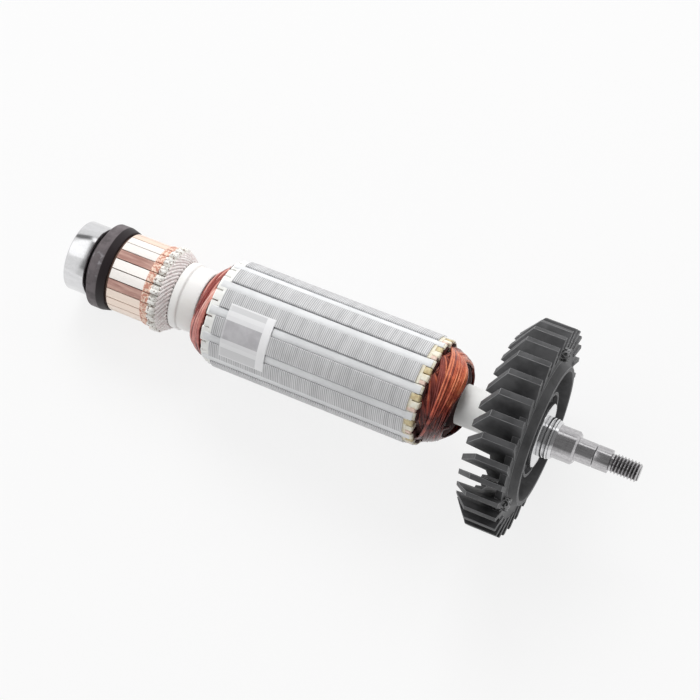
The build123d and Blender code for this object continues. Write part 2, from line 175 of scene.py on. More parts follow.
def rounded(profile: Sequence[Point], size: float, steps: int = 3) -> list[Point]:
    """Rounds the corners of a closed outline.

    Args:
        profile: the outline's corners.
        size: how far from each corner the rounding starts.
        steps: straight pieces in each rounding.

    Returns:
        The outline with its corners rounded, apart from those on the centre line.
    """
    out: list[Point] = []
    count = len(profile)
    for number, (x, y) in enumerate(profile):
        before, after = profile[number - 1], profile[(number + 1) % count]
        back = math.hypot(before[0] - x, before[1] - y)
        ahead = math.hypot(after[0] - x, after[1] - y)
        reach = min(size, CORNER_SHARE * back, CORNER_SHARE * ahead)
        if y < TINY or reach < TINY:
            out.append((x, y))
            continue
        first = (x + (before[0] - x) / back * reach, y + (before[1] - y) / back * reach)
        last = (x + (after[0] - x) / ahead * reach, y + (after[1] - y) / ahead * reach)
        for step in range(steps + 1):
            t = step / steps
            near, mid, far = (1 - t) ** 2, 2 * t * (1 - t), t * t
            out.append((near * first[0] + mid * x + far * last[0],
                        near * first[1] + mid * y + far * last[1]))
    return out


def swell(t: float, edge: float) -> float:
    """Rises from 0 at an edge to 1 inside it, and falls again at the other edge."""
    near = min(t, 1 - t) / edge
    return 1.0 if near >= 1 else math.sqrt(max(0.0, 1 - (1 - near) ** 2))


class Shape:
    """Gathers points and faces, then makes one object of them."""

    def __init__(self) -> None:
        """Starts empty."""
        self.points: list[Vector] = []
        self.faces: list[tuple[int, ...]] = []
        self.slots: list[int] = []

    def add(self, points: Iterable[Vector], faces: Iterable[Sequence[int]], slot: int = 0) -> None:
        """Adds points, and faces that count from the first of them.

        Args:
            points: the points in metres.
            faces: the faces, as numbers of these points.
            slot: the number of their finish.
        """
        base = len(self.points)
        self.points.extend(points)
        for face in faces:
            self.faces.append(tuple(base + number for number in face))
            self.slots.append(slot)

    def grid(self, rows: Sequence[Sequence[Vector]], wrap_rows: bool, wrap_columns: bool,
             cap: bool, slot: int = 0) -> None:
        """Joins rows of points into a skin.

        Args:
            rows: rows of equally many points.
            wrap_rows: whether the last row meets the first.
            wrap_columns: whether each row is a closed loop.
            cap: whether the first and last rows are closed with a face each.
            slot: the number of the finish.
        """
        width, height = len(rows[0]), len(rows)
        faces: list[Sequence[int]] = []
        for i in range(height if wrap_rows else height - 1):
            for j in range(width if wrap_columns else width - 1):
                k, m = (i + 1) % height, (j + 1) % width
                faces.append((i * width + j, i * width + m, k * width + m, k * width + j))
        if cap:
            faces.append(tuple(range(width)))
            faces.append(tuple((height - 1) * width + j for j in reversed(range(width))))
        self.add([point for row in rows for point in row], faces, slot)

    def turned(self, profile: Sequence[Point], steps: int = 120, start: float = 0.0,
               end: float = 360.0) -> None:
        """Turns a closed (station, radius) outline about the shaft.

        Args:
            profile: the outline.
            steps: sides round the shaft.
            start: first angle.
            end: last angle; a part turn gets a face at each end.
        """
        full = abs(end - start - 360.0) < TINY
        count = steps if full else steps + 1
        rows = [[LINE.at(s, r, start + (end - start) * i / steps) for s, r in profile]
                for i in range(count)]
        self.grid(rows, full, True, not full)

    def drawn(self, outline: Sequence[Point], start: float, end: float) -> None:
        """Draws a closed (radius, angle) outline along the shaft, between two stations."""
        loops = [[LINE.at(station, r, a) for r, a in outline] for station in (start, end)]
        self.grid(loops, False, True, True)

    def pad(self, stations: Point, angles: Point, radii: Point, edge: Point,
            cells: tuple[int, int] = (8, 8), slot: int = 0) -> None:
        """Adds a block with rounded edges that follows the shaft's curve.

        Args:
            stations: first and last.
            angles: first and last.
            radii: foot and top.
            edge: share of the length and of the width that each rounding takes.
            cells: cells along and across.
            slot: the number of the finish.
        """
        (s0, s1), (a0, a1), (foot, top) = stations, angles, radii
        along, across = cells
        upper, lower = [], []
        for i in range(along + 1):
            u = (1 - math.cos(math.pi * i / along)) / 2
            high, low = [], []
            for j in range(across + 1):
                v = (1 - math.cos(math.pi * j / across)) / 2
                height = swell(u, edge[0]) * swell(v, edge[1])
                place = (s0 + (s1 - s0) * u, a0 + (a1 - a0) * v)
                high.append(LINE.at(place[0], foot + (top - foot) * height, place[1]))
                low.append(LINE.at(place[0], foot, place[1]))
            upper.append(high)
            lower.append(low)
        self.grid(upper, False, False, False, slot)
        self.grid([row[::-1] for row in lower], False, False, False, slot)

    def tube(self, path: Sequence[Vector], radius: float, sides: int = 6, slot: int = 0) -> None:
        """Adds a round wire along a path.

        Args:
            path: its middle line in metres.
            radius: its radius in millimetres.
            sides: sides of its section.
            slot: the number of the finish.
        """
        rows = []
        heading = (path[1] - path[0]).normalized()
        across = heading.orthogonal().normalized()
        for number, place in enumerate(path):
            ahead = path[min(number + 1, len(path) - 1)] - path[max(number - 1, 0)]
            heading = ahead.normalized()
            across = (across - heading * across.dot(heading)).normalized()
            third = heading.cross(across)
            rows.append([place + (across * math.cos(2 * math.pi * k / sides)
                                  + third * math.sin(2 * math.pi * k / sides)) * radius * MM
                         for k in range(sides)])
        self.grid(rows, False, True, True, slot)

    def build(self, name: str, body: Body, finishes: Sequence[bpy.types.Material], slot: str,
              replaces: Sequence[str] = (), crease: float = CREASE_ANGLE) -> bpy.types.Object:
        """Makes the object, and puts it on its body.

        Args:
            name: the piece's name.
            body: the body it rides on.
            finishes: its materials, in the order of the slot numbers.
            slot: the record's material slot; not used.
            replaces: CAD nodes that it stands for.
            crease: the angle in degrees above which an edge stays sharp.

        Returns:
            The object.
        """
        mesh = bpy.data.meshes.new(name)
        mesh.from_pydata(self.points, [], self.faces)
        mesh.polygons.foreach_set("material_index", self.slots)
        for finish in finishes:
            mesh.materials.append(finish)
        work = bmesh.new()
        work.from_mesh(mesh)
        bmesh.ops.remove_doubles(work, verts=work.verts, dist=WELD_DISTANCE)
        bmesh.ops.dissolve_degenerate(work, edges=work.edges, dist=DEGENERATE_LENGTH)
        bmesh.ops.recalc_face_normals(work, faces=work.faces)
        work.to_mesh(mesh)
        work.free()
        return settle(bpy.data.objects.new(name, mesh), body, replaces, crease)


def settle(piece: bpy.types.Object, body: Body, replaces: Sequence[str],
           crease: float) -> bpy.types.Object:
    """Links a new piece, smooths it between its creases and puts it on its body.

    Args:
        piece: the new object.
        body: the body it rides on.
        replaces: CAD nodes that it stands for.
        crease: the angle in degrees above which an edge stays sharp.

    Returns:
        The same object.
    """
    bpy.context.scene.collection.objects.link(piece)
    piece.data.polygons.foreach_set("use_smooth", [True] * len(piece.data.polygons))
    piece.data.set_sharp_from_angle(angle=math.radians(crease))
    if replaces:
        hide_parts(*replaces)
    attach(piece, body.value)
    log.info("%s: %d faces", piece.name, len(piece.data.polygons))
    return piece


def refined(node: str, name: str, body: Body, finishes: Sequence[bpy.types.Material],
            bevel: float) -> bpy.types.Object:
    """Copies a solid's mesh, joins its flat faces and breaks its edges.

    Args:
        node: the CAD node.
        name: the piece's name.
        body: the body it rides on.
        finishes: its material, and that of its broken edges.
        bevel: the width of the broken edges in millimetres.

    Returns:
        The new object, which stands for the node.
    """
    mesh = bpy.data.meshes.new(name)
    work = bmesh.new()
    work.from_mesh(frame["nodes"][node].data)
    bmesh.ops.remove_doubles(work, verts=work.verts, dist=SOLID_WELD_DISTANCE)
    bmesh.ops.dissolve_limit(work, angle_limit=math.radians(FLAT_ANGLE), verts=work.verts,
                             edges=work.edges, delimit=set())
    limit = math.radians(EDGE_ANGLE)
    sharp = [edge for edge in work.edges
             if len(edge.link_faces) == 2 and edge.calc_face_angle(0.0) > limit]
    bmesh.ops.bevel(work, geom=sharp, offset=bevel * MM, offset_type="OFFSET", segments=2,
                    profile=0.5, affect="EDGES", clamp_overlap=True, material=1)
    bmesh.ops.recalc_face_normals(work, faces=work.faces)
    work.to_mesh(mesh)
    work.free()
    for finish in finishes:
        mesh.materials.append(finish)
    return settle(bpy.data.objects.new(name, mesh), body, [node], CREASE_ANGLE)


class Signal:
    """A number that varies over a surface, for sums written as plain expressions."""

    def __init__(self, painter: "Painter", socket: bpy.types.NodeSocket) -> None:
        """Wraps an output socket of the painter's tree."""
        self.painter = painter
        self.socket = socket

    def _do(self, operation: str, *values: Number) -> "Signal":
        """Adds one Math node.

        Args:
            operation: the node's operation.
            values: its inputs.

        Returns:
            The result.
        """
        node = self.painter.node("ShaderNodeMath", {"operation": operation},
                                 dict(enumerate(values)))
        return Signal(self.painter, node.outputs[0])

    def __add__(self, other: Number) -> "Signal":
        """self + other."""
        return self._do("ADD", self, other)

    __radd__ = __add__

    def __sub__(self, other: Number) -> "Signal":
        """self - other."""
        return self._do("SUBTRACT", self, other)

    def __rsub__(self, other: Number) -> "Signal":
        """other - self."""
        return self._do("SUBTRACT", other, self)

    def __mul__(self, other: Number) -> "Signal":
        """self * other."""
        return self._do("MULTIPLY", self, other)

    __rmul__ = __mul__

    def __truediv__(self, other: Number) -> "Signal":
        """self / other."""
        return self._do("DIVIDE", self, other)

    def __pow__(self, other: Number) -> "Signal":
        """self ** other."""
        return self._do("POWER", self, other)

    def __mod__(self, other: Number) -> "Signal":
        """self % other, from 0 up to other."""
        return self._do("FLOORED_MODULO", self, other)

    def __lt__(self, other: Number) -> "Signal":
        """1 where self is less than other."""
        return self._do("LESS_THAN", self, other)

    def __gt__(self, other: Number) -> "Signal":
        """1 where self is greater than other."""
        return self._do("GREATER_THAN", self, other)

    def __abs__(self) -> "Signal":
        """The size of self, without its sign."""
        return self._do("ABSOLUTE", self)

    def floor(self) -> "Signal":
        """The whole number below."""
        return self._do("FLOOR", self)

    def sine(self) -> "Signal":
        """The sine of self in radians."""
        return self._do("SINE", self)

    def most(self, other: Number) -> "Signal":
        """The larger of the two."""
        return self._do("MAXIMUM", self, other)

    def least(self, other: Number) -> "Signal":
        """The smaller of the two."""
        return self._do("MINIMUM", self, other)

    def between(self, low: float, high: float) -> "Signal":
        """1 where self lies between two values."""
        return (self > low) * (self < high)

    def fade(self, low: float, high: float) -> "Signal":
        """Goes smoothly from 0 at low to 1 at high."""
        node = self.painter.node("ShaderNodeMapRange", {"interpolation_type": "SMOOTHSTEP"},
                                 {"Value": self, "From Min": low, "From Max": high})
        return Signal(self.painter, node.outputs["Result"])


class Painter:
    """Makes one material's nodes."""

    def __init__(self, name: str) -> None:
        """Starts a material with its one shader."""
        self.material = bpy.data.materials.new(name)
        self.material.use_nodes = True
        self.tree = self.material.node_tree
        self.shader = self.tree.nodes["Principled BSDF"]
        self.coordinates: dict[str, Signal] = {}

    @classmethod
    def of_tree(cls, tree: bpy.types.NodeTree) -> "Painter":
        """Makes a painter for a tree that isn't a material's."""
        painter = cls.__new__(cls)
        painter.tree = tree
        return painter

    def link(self, target: bpy.types.NodeSocket, value: Any) -> None:
        """Feeds a socket with a link or a plain value.

        Args:
            target: the input socket.
            value: a signal, an output socket, a number, a colour or a vector.
        """
        if isinstance(value, Signal):
            self.tree.links.new(value.socket, target)
        elif isinstance(value, bpy.types.NodeSocket):
            self.tree.links.new(value, target)
        elif target.type == "RGBA":
            target.default_value = (*value, 1.0)
        else:
            target.default_value = value

    def node(self, kind: str, settings: dict[str, Any],
             inputs: dict[Union[int, str], Any]) -> bpy.types.Node:
        """Adds a node.

        Args:
            kind: the node's type.
            settings: its own settings, which are set first; "stops" fills a colour ramp.
            inputs: values or links of its sockets, by name or number.

        Returns:
            The node.
        """
        made = self.tree.nodes.new(kind)
        for name, value in settings.items():
            if name == "stops":
                ramp = made.color_ramp
                while len(ramp.elements) < len(value):
                    ramp.elements.new(0.5)
                for element, (place, colour) in zip(ramp.elements, value):
                    element.position = place
                    element.color = (*colour, 1.0)
            else:
                setattr(made, name, value)
        for key, value in inputs.items():
            self.link(made.inputs[key], value)
        return made

    def place(self) -> bpy.types.NodeSocket:
        """The place on the piece at rest, in metres."""
        return self.node("ShaderNodeTexCoord", {}, {}).outputs["Object"]

    def _dot(self, direction: Vector) -> Signal:
        """Measures along a direction from the shaft's rear end, in millimetres.

        Args:
            direction: the direction, of length 1.

        Returns:
            The distance.
        """
        off = self.node("ShaderNodeVectorMath", {"operation": "SUBTRACT"},
                        {0: self.place(), 1: tuple(LINE.rear)})
        dot = self.node("ShaderNodeVectorMath", {"operation": "DOT_PRODUCT"},
                        {0: off.outputs[0], 1: tuple(direction / MM)})
        return Signal(self, dot.outputs["Value"])

    def station(self) -> Signal:
        """Millimetres along the shaft."""
        if "station" not in self.coordinates:
            self.coordinates["station"] = self._dot(LINE.along)
        return self.coordinates["station"]

    def _square(self) -> tuple[Signal, Signal]:
        """The two distances square to the shaft, upwards and sideways."""
        if "up" not in self.coordinates:
            self.coordinates["up"] = self._dot(LINE.up)
            self.coordinates["side"] = self._dot(LINE.side)
        return self.coordinates["up"], self.coordinates["side"]

    def angle(self) -> Signal:
        """Degrees round the shaft."""
        up, side = self._square()
        turn = self.node("ShaderNodeMath", {"operation": "ARCTAN2"}, {0: side, 1: up})
        return Signal(self, turn.outputs[0]) * math.degrees(1.0)

    def radius(self) -> Signal:
        """Millimetres from the shaft's centre line."""
        up, side = self._square()
        return (up * up + side * side) ** 0.5

    def noise(self, size: float, detail: float = 3.0, rough: float = 0.55,
              stretch: tuple[float, float] = (1.0, 1.0)) -> Signal:
        """Adds noise.

        Args:
            size: its grain in millimetres.
            detail: octaves of finer grain.
            rough: how strong the finer grain is.
            stretch: how much longer the grain is along the shaft, and round it.

        Returns:
            Values about 0.5.
        """
        if stretch == (1.0, 1.0):
            vector: Any = self.place()
            scale = 1 / (size * MM)
        else:
            vector = self.node("ShaderNodeCombineXYZ", {}, {
                0: self.station() / stretch[0], 1: self.angle() * 0.2 / stretch[1],
                2: self.radius() / stretch[0]}).outputs[0]
            scale = 1 / size
        made = self.node("ShaderNodeTexNoise", {}, {
            "Vector": vector, "Scale": scale, "Detail": detail, "Roughness": rough})
        return Signal(self, made.outputs["Fac"])

    def random(self, value: Signal, seed: float = 0.0) -> Signal:
        """A random number from 0 to 1 for each whole number."""
        made = self.node("ShaderNodeTexWhiteNoise", {"noise_dimensions": "1D"},
                         {"W": value.floor() + seed})
        return Signal(self, made.outputs["Value"])

    def mix(self, factor: Number, first: Any, second: Any) -> bpy.types.NodeSocket:
        """Blends two colours.

        Args:
            factor: 0 for the first, 1 for the second.
            first: a colour or a link.
            second: a colour or a link.

        Returns:
            The blended colour.
        """
        made = self.node("ShaderNodeMix", {"data_type": "RGBA"},
                         {0: factor, 6: first, 7: second})
        return made.outputs[2]

    def ramp(self, value: Signal, stops: Sequence[tuple[float, Colour]]) -> bpy.types.NodeSocket:
        """Turns a number into a colour through stops."""
        return self.node("ShaderNodeValToRGB", {"stops": stops}, {0: value}).outputs["Color"]

    def bump(self, height: Number, depth: float) -> bpy.types.NodeSocket:
        """Tilts the surface by a height from 0 to 1, over a depth in millimetres."""
        inputs = {"Height": height, "Distance": depth * MM, "Strength": 1.0}
        return self.node("ShaderNodeBump", {}, inputs).outputs["Normal"]

    def finish(self, **sockets: Any) -> bpy.types.Material:
        """Sets the shader's sockets.

        Args:
            sockets: values or links, by the socket's name with _ for a space.

        Returns:
            The material.
        """
        for name, value in sockets.items():
            self.link(self.shader.inputs[name.replace("_", " ")], value)
        return self.material


@dataclass(frozen=True)
class PlainFinish:
    """A moulded, painted or papery surface with a fine grain and soft patches."""

    name: str
    colour: Colour
    shade: Colour
    roughness: float = 0.5
    patch: float = 4.0
    grain: float = 0.35
    grain_depth: float = 0.01
    coat: float = 0.0

    def material(self) -> bpy.types.Material:
        """Makes the material."""
        p = Painter(self.name)
        patches = p.noise(self.patch, 4.0)
        grain = p.noise(self.grain, 2.0)
        colour = p.mix(patches.fade(0.35, 0.65), self.colour, self.shade)
        return p.finish(Base_Color=colour, Roughness=self.roughness + 0.16 * (patches - 0.5),
                        Coat_Weight=self.coat, Coat_Roughness=0.15,
                        Normal=p.bump(grain, self.grain_depth))


@dataclass(frozen=True)
class TurnedSteel:
    """Ground or turned steel, with fine rings and lengthwise smears, and painted shade in a thread's
    roots.
    """

    name: str
    colour: Colour = (0.58, 0.57, 0.58)
    shade: Colour = (0.44, 0.43, 0.44)
    roughness: float = 0.2
    ring_pitch: float = 0.22
    ring_depth: float = 0.0012
    spotted: float = 0.16
    thread_start: float = 1000.0
    pitch: float = 1.0
    thread_root_shade: Colour = (0.15, 0.145, 0.145)

    def material(self) -> bpy.types.Material:
        """Makes the material."""
        p = Painter(self.name)
        rings = p.noise(self.ring_pitch, 2.0, 0.6, (1.0, 60.0))
        smears = p.noise(2.2, 4.0, 0.6, (5.0, 1.0))
        spots = p.noise(0.7, 3.0, 0.65)
        worn = (smears * 0.6 + spots * 0.4).fade(0.4, 0.62)
        turn = (p.station() / self.pitch - p.angle() / 360.0 + 1.0) % 1.0
        # Painted shade: the roots between the thread's ridges are darkened.
        root = (1 - abs(2 * turn - 1)).fade(0.45, 0.8) * (p.station() > self.thread_start)
        colour = p.mix(root, p.mix(worn, self.colour, self.shade), self.thread_root_shade)
        return p.finish(Base_Color=colour, Metallic=1.0,
                        Roughness=self.roughness + self.spotted * (spots - 0.45),
                        Normal=p.bump(rings, self.ring_depth))


@dataclass(frozen=True)
class LaminatedSteel:
    """The ground face of a stack of thin steel sheets."""

    name: str
    colour: Colour = (0.80, 0.80, 0.81)
    smeared: Colour = (0.66, 0.66, 0.67)
    line: Colour = (0.16, 0.16, 0.165)
    pitch: float = 0.58

    def material(self) -> bpy.types.Material:
        """Makes the material."""
        p = Painter(self.name)
        sheet = p.station() / self.pitch
        wave = ((sheet * (2 * math.pi)).sine() * 0.5 + 0.5) ** 1.6
        tone = p.random(sheet + 0.25) * 0.35 + 0.65
        smear = p.noise(2.0, 4.0, 0.6, (1.0, 3.0))
        depth = (wave * (0.75 + 0.25 * p.noise(1.2, 2.0))).least(1.0)
        ground = p.mix(smear.fade(0.3, 0.75), self.colour, self.smeared)
        colour = p.mix(depth * 0.85 * tone, ground, self.line)
        return p.finish(Base_Color=colour, Metallic=0.2, Roughness=0.5 - 0.1 * (smear - 0.5),
                        Normal=p.bump(1 - wave, 0.02))


@dataclass(frozen=True)
class CommutatorCopper:
    """Turned copper bars, each with its own tarnish, a few painted near white as highlight, and a
    darker riser.
    """

    name: str
    track_end: float
    riser_end: float
    tarnished: tuple[int, ...] = (0, 5, 10, 14, 21)
    # The next list of bars, and the near-white colour below it, are a painted highlight: glare off the
    # copper.
    polished: tuple[int, ...] = (1, 2, 11, 22, 23)
    bright: tuple[Colour, Colour] = ((0.99, 0.84, 0.73), (0.97, 0.76, 0.62))
    brown: tuple[Colour, Colour] = ((0.42, 0.22, 0.185), (0.66, 0.42, 0.35))
    painted_glare: Colour = (0.99, 0.95, 0.91)
    riser: tuple[Colour, Colour] = ((0.98, 0.76, 0.62), (0.66, 0.29, 0.21))
    tin: tuple[Colour, Colour] = ((0.98, 0.97, 0.93), (0.30, 0.22, 0.19))

    def material(self) -> bpy.types.Material:
        """Makes the material."""
        p = Painter(self.name)
        bar = ((p.angle() - BAR_PHASE + 360.0) % 360.0) / (360.0 / BAR_COUNT)
        own = p.random(bar, 3.0)
        wear = p.noise(0.9, 4.0, 0.6, (9.0, 1.0))
        scratches = p.noise(0.35, 2.0, 0.6, (1.0, 40.0))
        bright = p.mix(own.fade(0.2, 0.8), *self.bright)
        brown = p.mix(wear.fade(0.35, 0.65), *self.brown)
        # Painted highlight: the listed bars are mixed to near white, standing in for glare off the
        # copper.
        dull, light = (sum(abs(bar.floor() - number) < 0.5 for number in numbers)
                       for numbers in (self.tarnished, self.polished))
        bright = p.mix(light, bright, self.painted_glare)
        riser = p.mix(p.noise(0.8, 3.0, 0.7).fade(0.44, 0.56), *self.riser)
        track = p.mix(dull, bright, brown)
        on_riser = p.station().fade(self.track_end - 0.15, self.track_end + 0.15)
        tinned = p.station().fade(self.riser_end - 0.1, self.riser_end + 0.4)
        flecks = p.noise(0.7, 3.0, 0.6).fade(0.56, 0.6)
        tin = p.mix(flecks, *self.tin)
        colour = p.mix(tinned, p.mix(on_riser, track, riser), tin)
        rough = on_riser.most(tinned)
        return p.finish(Base_Color=colour, Metallic=0.35 - 0.25 * rough,
                        Roughness=0.3 + 0.16 * rough + 0.1 * (wear - 0.5),
                        Normal=p.bump(scratches, 0.003))


@dataclass(frozen=True)
class EnamelledWire:
    """Varnished copper wire, with painted light and shade: brighter on one side round the shaft and
    darker on the other.
    """

    name: str
    bright: Colour
    middle: Colour
    dark: Colour
    painted_lit_angles: Point = (-60.0, 10.0)
    share: float = 0.65
    roughness: float = 0.26

    def material(self) -> bpy.types.Material:
        """Makes the material."""
        p = Painter(self.name)
        patch = p.noise(2.6, 3.0, 0.6)
        # Painted light and shade: the colour rises over a span of angles round the shaft and falls
        # elsewhere; the noise patches are the wire's own tone.
        side = p.angle().fade(*self.painted_lit_angles)
        tone = (patch - 0.5) * 1.1 + 0.5 + self.share * (side - 0.6)
        colour = p.ramp(tone, [(0.0, self.dark), (0.45, self.middle), (1.0, self.bright)])
        return p.finish(Base_Color=colour, Metallic=0.4, Roughness=self.roughness,
                        Coat_Weight=0.4, Coat_Roughness=0.1,
                        Normal=p.bump(p.noise(0.5, 2.0), 0.006))


@dataclass(frozen=True)
class WasherMoulding:
    """Dark moulding, with a pale mottled patch painted as light over a span of angles round the shaft,
    and its taper towards the commutator painted near black as shade.
    """

    name: str
    taper_start: float
    rim: Colour = (0.165, 0.142, 0.15)
    shade: Colour = (0.10, 0.086, 0.09)
    light: Colour = (0.34, 0.32, 0.34)
    taper: Colour = (0.018, 0.012, 0.014)

    def material(self) -> bpy.types.Material:
        """Makes the material."""
        p = Painter(self.name)
        cloud = p.noise(3.0, 4.0, 0.65)
        # Painted light: a pale mottled patch only within a span of angles round the shaft.
        painted_sheen = cloud.fade(0.5, 0.7) * (1 - abs(p.angle() + 15.0).fade(8.0, 26.0))
        rim = p.mix(painted_sheen, p.mix(cloud.fade(0.35, 0.65), self.rim, self.shade), self.light)
        # Painted shade: the taper is near black.
        on_taper = p.station().fade(self.taper_start - 0.1, self.taper_start + 0.25)
        return p.finish(Base_Color=p.mix(on_taper, rim, self.taper), Roughness=0.5,
                        Specular_IOR_Level=0.35, Normal=p.bump(p.noise(0.5, 3.0), 0.012))


@dataclass(frozen=True)
class BareLabel:
    """A blank label: a smooth grey field with a pale border and one white bar."""

    name: str
    stations: Point
    angles: Point
    bar_width: float = 2.6
    border: float = 0.5
    colour: Colour = (0.50, 0.49, 0.51)
    cloudy: Colour = (0.60, 0.59, 0.61)
    light: Colour = (0.74, 0.74, 0.75)
    pale: Colour = (0.97, 0.97, 0.98)

    def material(self) -> bpy.types.Material:
        """Makes the material."""
        p = Painter(self.name)
        start, end = self.stations
        low, high = self.angles
        bar = end - self.bar_width
        on_bar = p.station().fade(bar - 0.1, bar + 0.1)
        left = 1 - p.station().fade(start + self.border, start + self.border + 0.2)
        slot = abs((p.angle() - SLOT_PHASE + 15 + 360) % SLOT_PITCH - 15)
        over_slot = 1 - slot.fade(4.6, 5.2)
        rims = (1 - p.angle().fade(low + 1.2, low + 2.0)).most(p.angle().fade(high - 2.0, high - 1.2))
        tone = p.noise(4.0, 4.0).fade(0.35, 0.65)
        middle_tooth = p.angle().between(-SLOT_PITCH - SLOT_PHASE, -SLOT_PHASE)
        grey = p.mix(tone, self.colour, self.cloudy)
        colour = p.mix(1 - middle_tooth, grey, self.light)
        pale = on_bar.most(left * 0.25).most(rims * 0.7).most(over_slot * 0.75)
        return p.finish(Base_Color=p.mix(pale, colour, self.pale), Roughness=0.42,
                        Coat_Weight=0.25, Coat_Roughness=0.2, Normal=p.bump(p.noise(1.0), 0.01))


@dataclass(frozen=True)
class TornPlastic:
    """Plastic that was torn off, with pale and dark strokes side by side."""

    name: str
    dark: Colour = (0.012, 0.012, 0.013)
    pale: Colour = (0.34, 0.34, 0.345)

    def material(self) -> bpy.types.Material:
        """Makes the material."""
        p = Painter(self.name)
        torn = p.noise(0.8, 3.0, 0.7)
        return p.finish(Base_Color=p.mix(torn.fade(0.44, 0.56), self.dark, self.pale),
                        Roughness=0.6, Normal=p.bump(torn, 0.25))


